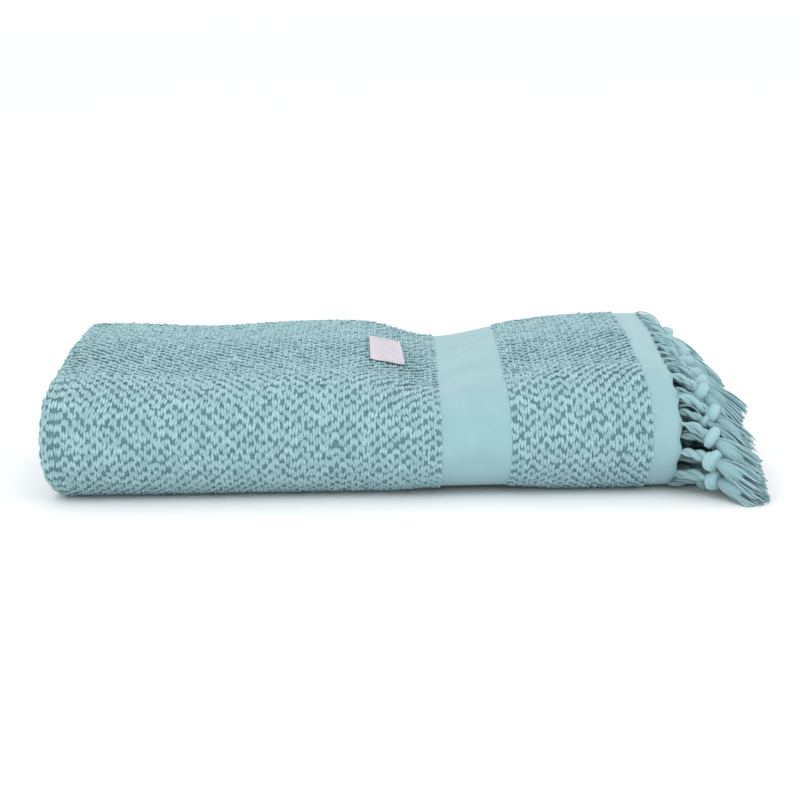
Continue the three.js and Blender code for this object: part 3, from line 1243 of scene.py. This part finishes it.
@dataclass
class Pebbles:
    """The raised loops of the weave, set in staggered rows on every outer face."""

    stack: Stack
    pitch: float = 4.2
    width: float = 3.05
    length: float = 4.25
    height: float = 1.6
    sink: float = 0.95
    unevenness: float = 0.15
    edge_gap: float = 2.5
    pressed: float = 1.3
    stray_across: float = 0.13
    stray_along: float = 0.4
    reach: float = 0.01
    squeezed: tuple[float, float] = (0.45, 1.3)

    def rows_x(self) -> Array:
        """Places of the rows along the towel, outside the band and the hem strip."""
        s = self.stack
        near = np.arange(s.band_near - self.edge_gap, s.fold_x, -self.pitch)
        start, end = s.band_far + self.edge_gap, s.hem - s.hem_strip - self.edge_gap
        far = np.linspace(start, end, round((end - start) / self.pitch) + 1)
        return np.concatenate([near, far])

    def scatter(self, run: Run, rows: Array, odd: Array) -> dict[str, Array]:
        """Pebbles of one run.

        Args:
            run: The run across the towel.
            rows: For each row its place along the towel, its height over the bundle's inner face, and the
                face's direction there, along the towel and away from the bundle's inner face.
            odd: 0 or 1 for each row, which staggers it.

        Returns:
            Points, their directions up and along, and how squeezed the pebbles are.
        """
        s = self.stack
        count = max(2, round(s.length(run, s.outer_ply) / self.pitch))
        row, column = np.meshgrid(np.arange(len(rows)), np.arange(count), indexing="ij")
        keep = (column + odd[row]) % 2 == 0
        row, column = row[keep], column[keep]
        rng = np.random.default_rng(SEED + list(Run).index(run) + len(rows))
        step = 1.0 / count
        share = (column + 0.5) / count + rng.normal(0, self.stray_across, row.size) * step
        share = np.clip(share, 0.001, 0.999)
        x, h, dx, dh = rows[row].T
        x = x + rng.normal(0, self.stray_along, row.size)

        def at(where: Array, height: float) -> Array:
            """Points of the rows, at shares of the run's length and a height over the cloth's middle."""
            return s.place(x + height * dx, s.station(run, np.clip(where, 0, 1)), h + height * dh)

        here = at(share, self.sink)
        up = unit(at(share, self.sink + 1.0) - here)
        forward = at(share + self.reach, self.sink) - at(share - self.reach, self.sink)
        spacing = np.linalg.norm(forward, axis=-1) / (2 * self.reach) / count
        squeeze = np.clip(spacing / self.pitch, *self.squeezed)
        forward = unit(forward - up * np.sum(forward * up, -1, keepdims=True))
        along = unit(np.cross(forward, up))
        return {"points": here + s.offset(), "up": up, "along": along, "long": squeeze}

    def field(self, name: str, height: float, parts: list, tree: GeometryTree, cotton: Material) -> Object:
        """One piece of pebbles.

        Args:
            name: Its name.
            height: How high its pebbles are.
            parts: The scattered parts that it joins.
            tree: The tree that sets the pebbles.
            cotton: Its material.

        Returns:
            The piece.
        """
        joined = {key: np.concatenate([p[key] for p in parts]) for key in parts[0]}
        source = mesh_object(name + "_points", joined["points"])
        for key in ("up", "along", "long"):
            add_attribute(source, "pebble_" + key, joined[key])
        made = tree.grow(source, name, {
            "Width": self.width * MM, "Length": self.length * MM, "Height": height * MM,
            "Unevenness": self.unevenness, "Seed": SEED + len(name), "Material": cotton,
        })
        return dress(made, Slot.COTTON, FIXED_BODY)

    def build(self, wardrobe: Wardrobe) -> list[Object]:
        """Makes the fields of pebbles.

        Args:
            wardrobe: The materials.

        Returns:
            The pieces.
        """
        s = self.stack
        tree = Loops().tree()
        x = self.rows_x()
        odd = np.abs(np.round((x - s.band_near) / self.pitch)).astype(int) % 2
        rows = np.column_stack([x, np.full(len(x), s.outer_ply), np.zeros(len(x)), np.ones(len(x))])
        flat = {run: [self.scatter(run, rows, odd)] for run in OUTER_RUNS}
        radius = 1.5 * s.ply
        steps = round(math.pi * (radius + self.sink) / self.pitch)
        angle = QUARTER_TURN + (np.arange(steps) + 0.5) * math.pi / steps
        out, rise = np.cos(angle), np.sin(angle)
        rows = np.column_stack([s.fold_x + radius * out, 2 * s.ply + radius * rise, out, rise])
        bent = [self.scatter(run, rows, np.arange(steps) % 2) for run in Run]
        fields = (
            ("pebbles_top", self.height, flat[Run.TOP]),
            ("pebbles_front_fold", self.height, flat[Run.NOSE]),
            ("pebbles_underside", self.pressed, flat[Run.BASE]),
            ("pebbles_back_fold", self.height, flat[Run.BACK]),
            ("pebbles_closed_end", self.height, bent),
        )
        return [self.field(*row, tree, wardrobe.pebble) for row in fields]


# ---- The label ----


@dataclass
class Label:
    """The blank woven label on top, behind the front fold, and its stitching."""

    stack: Stack
    left: float = 7.0
    right: float = 32.0
    front: float = 44.0
    long: float = 72.0
    lift: float = 0.75
    thick: float = 0.5
    skew: float = 0.03
    flare: float = 0.05
    turn: float = 3.0
    columns: int = 22
    rows: int = 44
    bow_low: float = -0.3
    lip: float = 0.9
    lip_reach: float = 5.0
    corner_curl: float = 1.3
    edge_curl: float = 0.5
    seam_row: int = 3
    stitch: float = 2.6
    stitch_gap: float = 0.9
    stitch_points: int = 7
    first_stitch: float = 1.2
    last_stitch: float = 1.0
    thread_radius: float = 0.27
    thread_height: float = 0.12
    thread_rise: float = 0.35
    thread_sink: float = 0.3
    thread_tone: float = 0.8

    def face(self, height: float) -> tuple[Array, Array, Array]:
        """The label's face, bowed and curled as a limp tape lies.

        Args:
            height: Its height over the tape's underside.

        Returns:
            Its points by column and row, their places on the tape, and how near they are to its edge.
        """
        s = self.stack
        walk = np.linspace(0, self.long, self.rows)
        stations = s.station(Run.TOP, (self.front + walk) / s.top_run)
        across = np.linspace(1, -1, self.columns)
        middle, half = (self.left + self.right) / 2, (self.right - self.left) / 2
        u, v = np.meshgrid(across, walk, indexing="ij")
        share = v / self.long
        bow = 0.25 * np.sin(share * 7.0 + u * 1.7) + 0.2 * np.cos(u * 4.1 + v * 0.21)
        curl = self.lip * np.clip(1 - v / self.lip_reach, 0, 1) ** 2 * (0.4 + 0.6 * u**2)
        curl = curl + self.edge_curl * np.abs(u) ** 10
        curl = curl + self.corner_curl * np.clip(u, 0, 1) ** 5 * np.clip(1.2 - share, 0, 1)
        x = middle + u * half * (1 + self.flare * (1 - 2 * share)) - self.skew * (v - self.long / 2)
        h = s.outer_ply + s.cloth / 2 + self.lift + height + np.maximum(bow, self.bow_low) + curl
        turned = np.broadcast_to(stations[None], (*u.shape, 4)).copy()
        turned[..., 0] += self.turn * u
        points = s.place(x, turned, h)
        edge = np.maximum(np.abs(u), np.abs(share * 2 - 1) ** 2)
        return points + s.offset(), np.stack([u * half, v, np.zeros_like(u)], -1), edge

    def build(self, wardrobe: Wardrobe, yarn: GeometryTree) -> list[Object]:
        """Makes the tape and its two lines of stitches.

        Args:
            wardrobe: The materials.
            yarn: The tree that makes threads.

        Returns:
            The three pieces.
        """
        top, place, edge = self.face(self.thick)
        tape = mesh_object("label_tape", *closed_sheet(top, self.face(0.0)[0]))
        add_attribute(tape, "tape_place", np.concatenate([place.reshape(-1, 3)] * 2))
        add_attribute(tape, "tape_edge", np.concatenate([edge.ravel()] * 2))
        tape.data.materials.append(wardrobe.satin)
        return [
            dress(tape, Slot.SATIN, FIXED_BODY, "label"),
            self.stitches("front", self.seam_row, wardrobe, yarn),
            self.stitches("back", self.rows - 1 - self.seam_row, wardrobe, yarn),
        ]

    def stitches(self, end: str, row: int, wardrobe: Wardrobe, yarn: GeometryTree) -> Object:
        """Makes one line of stitches across the label, each a short arch of thread.

        Args:
            end: The label's end that it is at, front or back.
            row: The row of the tape that it follows.
            wardrobe: The materials.
            yarn: The tree that makes threads.

        Returns:
            The line.
        """
        line = self.face(self.thick + self.thread_height)[0][:, row]
        up = unit(self.face(self.thick + self.thread_height + 1.0)[0][:, row] - line)
        walk = walked(line)
        count = self.stitch_points
        arch = np.sin(np.linspace(0, math.pi, count))[:, None] * self.thread_rise - self.thread_sink
        lot = Yarns()
        start = self.first_stitch
        while start + self.stitch < walk[-1] - self.last_stitch:
            at = np.linspace(start, start + self.stitch, count)
            lot.add(along_line(at, walk, line) + along_line(at, walk, up) * arch,
                    self.thread_radius, self.thread_tone, 0.0, at)
            start += self.stitch + self.stitch_gap
        made = lot.grow(f"stitches_{end}", yarn, 6, wardrobe.thread)
        return dress(made, Slot.THREAD, FIXED_BODY, f"label_stitching_{end}")


# ---- The fringe ----


@dataclass
class Fringe:
    """Where tassels start and how they hang."""

    stack: Stack
    pitch: float = 20.0
    tassel: float = 60.0
    droop: float = 0.55
    low_lift: float = 2.08
    low_reach: float = 15.0
    late_droop: float = 0.62
    fan: float = 0.38
    fan_low: float = 1.4

    def stations(self, runs: tuple[Run, ...], first: float) -> Array:
        """Stations one pitch apart along the outer ply.

        Args:
            runs: The runs that they follow each other on.
            first: How far from the start of the first run the first one is.

        Returns:
            The stations.
        """
        found, start, reach = [], 0.0, first
        for run in runs:
            length = self.stack.length(run, self.stack.outer_ply)
            while reach < start + length:
                found.append(self.stack.station(run, (reach - start) / length)[0])
                reach += self.pitch
            start += length
        return np.array(found)

    def hang(self, r: Array, y: float, z: float, hem: float) -> Array:
        """A tassel's middle line as it sinks towards the shelf.

        Args:
            r: Distances along it from its hem.
            y: Where it starts across the neat stack.
            z: The height where it starts.
            hem: Where its hem is along the towel.

        Returns:
            Its points in the towel's own frame.
        """
        s = self.stack
        out = r / math.hypot(1, self.droop * z / self.tassel) + hem - s.hem
        lift = self.low_lift * math.exp(-z / self.low_reach) * smoothstep(out, 0, self.low_reach)
        point = s.settle(np.stack([np.full_like(r, s.hem), np.full_like(r, y), z + lift], -1))
        point[..., 0] += out
        late, even = smoothstep(out, 0, self.tassel), np.clip(out / self.tassel, 0, 1)
        point[..., 2] *= 1 - self.droop * (self.late_droop * late + (1 - self.late_droop) * even)
        return point

    def middle_line(self, station: Array, h: float, hem: float, fanned: bool, longest: float) -> Array:
        """A tassel's middle line, with a point for each millimetre.

        Args:
            station: The station where it starts.
            h: Its height over the station.
            hem: Where its hem is along the towel.
            fanned: Whether it turns outwards on the rounded folds.
            longest: How far from the hem it reaches.

        Returns:
            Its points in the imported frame, the first ones inside the hem.
        """
        s = self.stack
        y = station[0] + h * station[2]
        z = station[1] + h * station[3] - (s.ply - s.cloth) / 2
        line = self.hang(np.arange(-LEAD, longest + 1.0), y, z, hem)
        if fanned:
            angle = self.fan * station[2] * (1 - self.fan_low * station[3])
            foot = line[LEAD].copy()
            out, side = line[:, 0] - foot[0], line[:, 1] - foot[1]
            line[:, 0] = foot[0] + out * math.cos(angle) - side * math.sin(angle)
            line[:, 1] = foot[1] + out * math.sin(angle) + side * math.cos(angle)
        return line + s.offset()


@dataclass
class Tassel:
    """One bundle of warp yarn: twisted, knotted and left loose. Its chances follow its own seed."""

    line: Array
    seed: int
    yaw_varies: float = 0.15
    dip_varies: float = 0.11
    stem_radius: float = 2.35
    stem_offset: float = 1.85
    stem_start: float = -2.0
    stem_points: int = 26
    turns: float = 0.95
    knot_at: float = 25.0
    knot_varies: float = 2.8
    knot_radius: float = 4.2
    knot_offset: float = 4.9
    knot_points: int = 12
    core_before: float = 6.0
    core_after: float = 9.0
    core_share: float = 1.05
    wrap_points: int = 22
    wrap_turns: float = 1.42
    wrap_shift: float = 1.0
    wrap_width: float = 4.2
    strands: int = 104
    strand_points: int = 11
    strand_radius: float = 0.6
    shortest: float = 31.0
    longest: float = 38.0
    tuft_start: float = 4.5
    spread_side: float = 14.0
    spread_up: float = 12.5
    lean_varies: float = 0.16
    lean_side: float = 8.0
    lean_up: float = 6.0
    heart_places: tuple[float, ...] = (-0.45, 0.0, 0.45)
    heart_share: float = 0.68
    outer_sag: float = 2.2
    loose: int = 2
    loose_points: int = 9
    floor: float = 0.2

    def __post_init__(self) -> None:
        """Turns and dips the middle line by chance, and settles where the knot is and how wide the tuft."""
        self.rng = np.random.default_rng(SEED * 1000 + self.seed)
        self.yarns = Yarns()
        yaw, dip = self.rng.normal(0, self.yaw_varies), self.rng.normal(0, self.dip_varies)
        away = self.line - self.line[LEAD]
        away[:, 1] += away[:, 0] * yaw
        away[:, 2] += np.maximum(away[:, 0], 0) * dip
        self.line = self.line[LEAD] + away
        self.walk = walked(self.line) - LEAD
        self.knot_at += self.rng.normal(0, self.knot_varies)
        self.spread_side *= self.rng.uniform(0.85, 1.35)
        self.spread_up *= self.rng.uniform(0.8, 1.25)

    def at(self, walk: Array, side_way: Array | float, up_way: Array | float) -> Array:
        """Points beside the middle line, which goes on straight past its ends.

        Args:
            walk: Distances along it from the hem.
            side_way: How far to the side of it they lie.
            up_way: How far above it they lie.

        Returns:
            The points.
        """
        low, high = self.walk[0], self.walk[-1]
        inside = np.clip(walk, low, high)
        ahead = along_line(np.minimum(inside + 2, high), self.walk, self.line)
        behind = along_line(np.maximum(inside - 2, low), self.walk, self.line)
        forward = unit(ahead - behind)
        point = along_line(inside, self.walk, self.line) + forward * (walk - inside)[..., None]
        side = unit(np.cross(np.broadcast_to(UP_Z, forward.shape), forward))
        up = np.cross(forward, side)
        ways = (np.broadcast_to(way, walk.shape)[:, None] for way in (side_way, up_way))
        return point + next(ways) * side + next(ways) * up

    def lay(self, path: Array, radius: Array | float, tone: float, end: Array | float, along: Array) -> None:
        """Adds one yarn, kept off the floor.

        Args:
            path: Its points.
            radius: Its radius.
            tone: How light it is; this paints shade inside the tassel and highlight on stem and knot.
            end: How much of a cut end's tone it has.
            along: The distance along it.
        """
        path[:, 2] = np.maximum(path[:, 2], radius + self.floor)
        self.yarns.add(path, radius, tone, end, along + self.rng.uniform(0, 400))

    def stem(self) -> None:
        """Two plies of yarn twisted round each other from the hem to the knot."""
        walk = np.linspace(self.stem_start, self.knot_at, self.stem_points)
        share = np.clip(walk / self.knot_at, 0, 1)
        swell = 0.32 + 0.72 * np.sin(math.pi * np.clip(share * 0.93 + 0.02, 0, 1)) ** 0.65
        start = self.rng.uniform(0, math.pi)
        away = self.stem_offset * swell
        for ply in range(2):
            angle = start + ply * math.pi + 2 * math.pi * self.turns * share
            path = self.at(walk, np.cos(angle) * away, np.sin(angle) * away)
            # Painted highlight: the twisted plies are lighter than most loose strands.
            self.lay(path, self.stem_radius * swell, 0.62 + 0.1 * ply, 0.0, walk)

    def knot(self) -> None:
        """A wrapped loop of the whole bundle, round its own core."""
        walk = np.linspace(self.knot_at - self.core_before, self.knot_at + self.core_after, self.knot_points)
        bell = np.sin(math.pi * np.linspace(0.12, 0.9, self.knot_points))
        core = self.knot_radius * self.core_share * bell**0.6
        self.lay(self.at(walk, 0.0, 0.0), core, 0.55, 0.0, walk)
        share = np.linspace(0, 1, self.wrap_points)
        angle = self.rng.uniform(0, 2 * math.pi) + 2 * math.pi * self.wrap_turns * share
        lean = self.rng.uniform(1.0, 2.0)
        walk = self.knot_at + self.wrap_shift + (share - 0.5) * self.wrap_width + lean * np.cos(angle)
        ease = np.sin(math.pi * np.clip(share, 0.02, 0.98)) ** 0.4
        away = self.knot_offset * (0.35 + 0.65 * ease)
        path = self.at(walk, np.cos(angle) * away, np.sin(angle) * away)
        # Painted highlight: the wrap is the lightest yarn of the tassel.
        self.lay(path, self.knot_radius * (0.5 + 0.5 * ease), 0.85, 0.0, share * 30)

    def tuft(self) -> None:
        """The loose cut ends, which flare from the knot round a thick heart that fills the tuft, dark with
        painted shade.
        """
        begin = self.knot_at + self.tuft_start
        share = np.linspace(0, 1, self.strand_points)
        flare = 0.2 + 0.8 * np.sin(share * math.pi / 2) ** 0.9
        side, up = self.rng.normal(0, self.lean_varies, 2) * (self.lean_side, self.lean_up)
        sag = self.rng.uniform(2.0, 7.0)
        for place in self.heart_places:
            reach = share * self.heart_share * self.shortest
            path = self.at(begin + reach, (place * self.spread_side + side) * flare, up * flare)
            path[:, 2] -= sag * (reach / self.longest) ** 2
            thick = self.spread_up * (0.16 + 0.34 * np.sin(share * 2.6) ** 0.8)
            # Painted shade: the heart is dark, as shade inside the tuft.
            self.lay(path, thick, 0.3, 0.0, reach)
        for _ in range(self.strands):
            turn = self.rng.uniform(0, 2 * math.pi)
            out = math.sqrt(self.rng.uniform(0.02, 1))
            long = self.rng.uniform(self.shortest, self.longest) * (1 - 0.12 * out * out)
            walk = begin + long * share
            wave = self.rng.uniform(0.25, 0.9) * np.sin(share * self.rng.uniform(3, 8) + turn) * share
            across = (math.cos(turn) * out * self.spread_side + side) * flare + wave
            over = (math.sin(turn) * out * self.spread_up + up) * flare + wave * 0.7
            path = self.at(walk, across, over)
            path[:, 2] -= (self.outer_sag * out + sag) * share**2
            thick = self.strand_radius * self.rng.uniform(0.8, 1.2) * (1 - 0.15 * share**3)
            # Painted shade: strands nearer the middle of the tuft are darker, with a random spread.
            depth_shade = 0.25 + 0.5 * out + self.rng.normal(0, 0.11)
            pale = np.clip(share * 1.6 - 0.75, 0, 1) * self.rng.uniform(0.15, 0.7)
            self.lay(path, thick, depth_shade, pale, walk)

    def stray(self) -> None:
        """A few yarns that were left out of the twist."""
        for _ in range(self.loose):
            turn = self.rng.uniform(0, 2 * math.pi)
            share = np.linspace(0, 1, self.loose_points)
            reach = self.knot_at * self.rng.uniform(0.75, 1.5)
            bow = np.sin(share * math.pi) * self.rng.uniform(2.5, 5.0) + 1.6
            angle = turn + share * self.rng.uniform(-1.5, 1.5)
            path = self.at(self.stem_start + share * reach, np.cos(angle) * bow, np.sin(angle) * bow)
            self.lay(path, self.strand_radius * 0.95, 0.6, 0.1, share * reach)

    def spin(self) -> Yarns:
        """Every yarn of the tassel."""
        self.stem()
        self.knot()
        self.tuft()
        self.stray()
        return self.yarns


@dataclass
class OuterFringe:
    """The tassels of the outer hem, each on its own body where it is free."""

    fringe: Fringe
    sides: int = 6
    reach: float = 66.0

    def build(self, wardrobe: Wardrobe, yarn: GeometryTree, bodies: dict[str, Object]) -> list[Object]:
        """Makes one piece for each tassel.

        Args:
            wardrobe: The materials.
            yarn: The tree that makes yarns.
            bodies: The frame's bodies by name.

        Returns:
            The tassels.
        """
        made = []
        stack = self.fringe.stack
        for i, station in enumerate(self.fringe.stations(OUTER_RUNS, self.fringe.pitch / 2)):
            node = f"tassel_{i + 1:02d}"
            line = self.fringe.middle_line(station, stack.outer_ply, stack.hem, True, self.reach)
            piece = Tassel(line, seed=i).spin().grow("knotted_" + node, yarn, self.sides, wardrobe.yarn)
            made.append(dress(piece, Slot.YARN, node if node in bodies else FIXED_BODY, node))
        return made


@dataclass
class InnerFringe:
    """The three rows of tassels between the plies, which are thinner and hang straight out."""

    fringe: Fringe
    sides: int = 4
    reach: float = 62.0
    first_seed: int = 200
    seeds_apart: int = 100

    def tassel(self, line: Array, seed: int) -> Tassel:
        """One thin tassel on its middle line."""
        return Tassel(line, seed, strands=24, stem_radius=1.9, stem_offset=1.4, knot_radius=2.7,
                      knot_offset=2.6, spread_side=8.0, spread_up=5.0, strand_radius=0.62, shortest=24,
                      longest=33, loose=1, strand_points=7)

    def build(self, wardrobe: Wardrobe, yarn: GeometryTree) -> list[Object]:
        """Makes one piece for each row.

        Args:
            wardrobe: The materials.
            yarn: The tree that makes yarns.

        Returns:
            The rows.
        """
        stack = self.fringe.stack
        inner_hem = stack.hem - stack.hem_setback
        folded = 2.5 * stack.ply
        pitch = self.fringe.pitch
        rows = (
            ("middle", INNER_RUNS, stack.outer_ply, pitch / 2, stack.hem),
            ("inner_outside", OUTER_RUNS[:3], folded, pitch, inner_hem),
            ("inner_middle", INNER_RUNS, folded, pitch, inner_hem),
        )
        made = []
        for number, (name, runs, height, first, hem) in enumerate(rows):
            lot = Yarns()
            seed = self.first_seed + self.seeds_apart * number
            for i, station in enumerate(self.fringe.stations(runs, first)):
                line = self.fringe.middle_line(station, height, hem, False, self.reach)
                lot.join(self.tassel(line, seed + i).spin())
            # Painted shade: these rows between the plies take the darker copy of the fringe cotton.
            piece = lot.grow("tassels_" + name, yarn, self.sides, wardrobe.inner_yarn)
            made.append(dress(piece, Slot.YARN, FIXED_BODY, "fringe_row_" + name))
        return made


# ---- The studio ----


@dataclass(frozen=True)
class Studio:
    """A pale round floor, soft light and the camera. In metres, degrees and watts."""

    lens: float = 97.7
    stand: tuple[float, float, float] = (-0.0065, -1.6511, 0.3579)
    yaw: float = 0.28
    pitch: float = 10.55
    roll: float = -0.82
    far: float = 200.0
    floor_rings: tuple[float, ...] = (0.001, 1.0, 3.0, 30.0)
    floor_sides: int = 64
    aim: tuple[float, float, float] = (0.0, 0.0, 0.05)
    room_colour: Colour = (0.98, 0.99, 1.0, 1.0)
    room_light: float = 1.06

    def floor(self, material: Material) -> None:
        """The floor, as rings of faces round the towel.

        Args:
            material: Its material.
        """
        turns = self.floor_sides
        radius = np.array(self.floor_rings)[:, None]
        angle = np.arange(turns) * 2 * math.pi / turns
        x, y = radius * np.cos(angle), radius * np.sin(angle)
        points = np.stack([x, y, np.zeros_like(x)], -1)
        index = np.arange(len(radius) * turns).reshape(-1, turns)
        nxt = np.roll(index, -1, 1)
        quads = np.stack([index[:-1], index[1:], nxt[1:], nxt[:-1]], -1).reshape(-1, 4)
        made = mesh_object("floor", points.reshape(-1, 3) / MM, quads)
        made.data.materials.append(material)

    def lamp(self, name: str, place: tuple[float, float, float], size: float, power: float) -> None:
        """A square soft box that looks at the towel.

        Args:
            name: Its name.
            place: Where it stands.
            size: The length of its side.
            power: Its power.
        """
        light = bpy.data.lights.new(name, "AREA")
        light.size = size
        light.energy = power
        lamp = linked(name, light)
        lamp.location = place
        lamp.rotation_euler = (Vector(self.aim) - Vector(place)).to_track_quat("-Z", "Y").to_euler()

    def room(self) -> None:
        """Soft light from everywhere."""
        world = bpy.data.worlds.new("soft_room")
        world.use_nodes = True
        background = world.node_tree.nodes["Background"].inputs
        background["Color"].default_value = self.room_colour
        background["Strength"].default_value = self.room_light
        bpy.context.scene.world = world
        bpy.context.scene.view_settings.view_transform = "Standard"

    def camera(self) -> None:
        """The camera, a little above the towel and in front of it."""
        data = bpy.data.cameras.new("camera")
        data.lens = self.lens
        data.clip_end = self.far
        camera = linked("camera", data)
        tilt = Matrix.Rotation(math.radians(90 - self.pitch), 4, "X")
        spin = Matrix.Rotation(math.radians(-self.yaw), 4, "Z")
        roll = Matrix.Rotation(math.radians(self.roll), 4, "Z")
        camera.matrix_world = Matrix.Translation(self.stand) @ spin @ tilt @ roll
        bpy.context.scene.camera = camera

    def build(self, material: Material) -> None:
        """Sets up the floor, the light and the camera.

        Args:
            material: The floor's material.
        """
        self.floor(material)
        self.lamp("key_light", (-0.9, -1.5, 2.2), 1.6, 12)
        self.lamp("fill_light", (1.8, -1.6, 1.1), 1.8, 4)
        self.lamp("back_light", (0.2, 1.8, 1.9), 1.8, 6)
        self.lamp("low_light", (0.3, -2.3, 0.3), 1.4, 6)
        self.room()
        self.camera()


def main() -> None:
    """Builds the towel round its frame, in order."""
    logging.basicConfig(level=logging.INFO, format="%(name)s: %(message)s")
    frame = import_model()
    stack = Stack()
    wardrobe = Wardrobe.new()
    Studio().build(wardrobe.floor)
    yarn = yarn_tree()
    cloth = Cloth(stack).build(wardrobe)
    pebbles = Pebbles(stack).build(wardrobe)
    label = Label(stack).build(wardrobe, yarn)
    fringe = Fringe(stack)
    outer = OuterFringe(fringe).build(wardrobe, yarn, frame["bodies"])
    inner = InnerFringe(fringe).build(wardrobe, yarn)


if __name__ == "__main__":
    main()
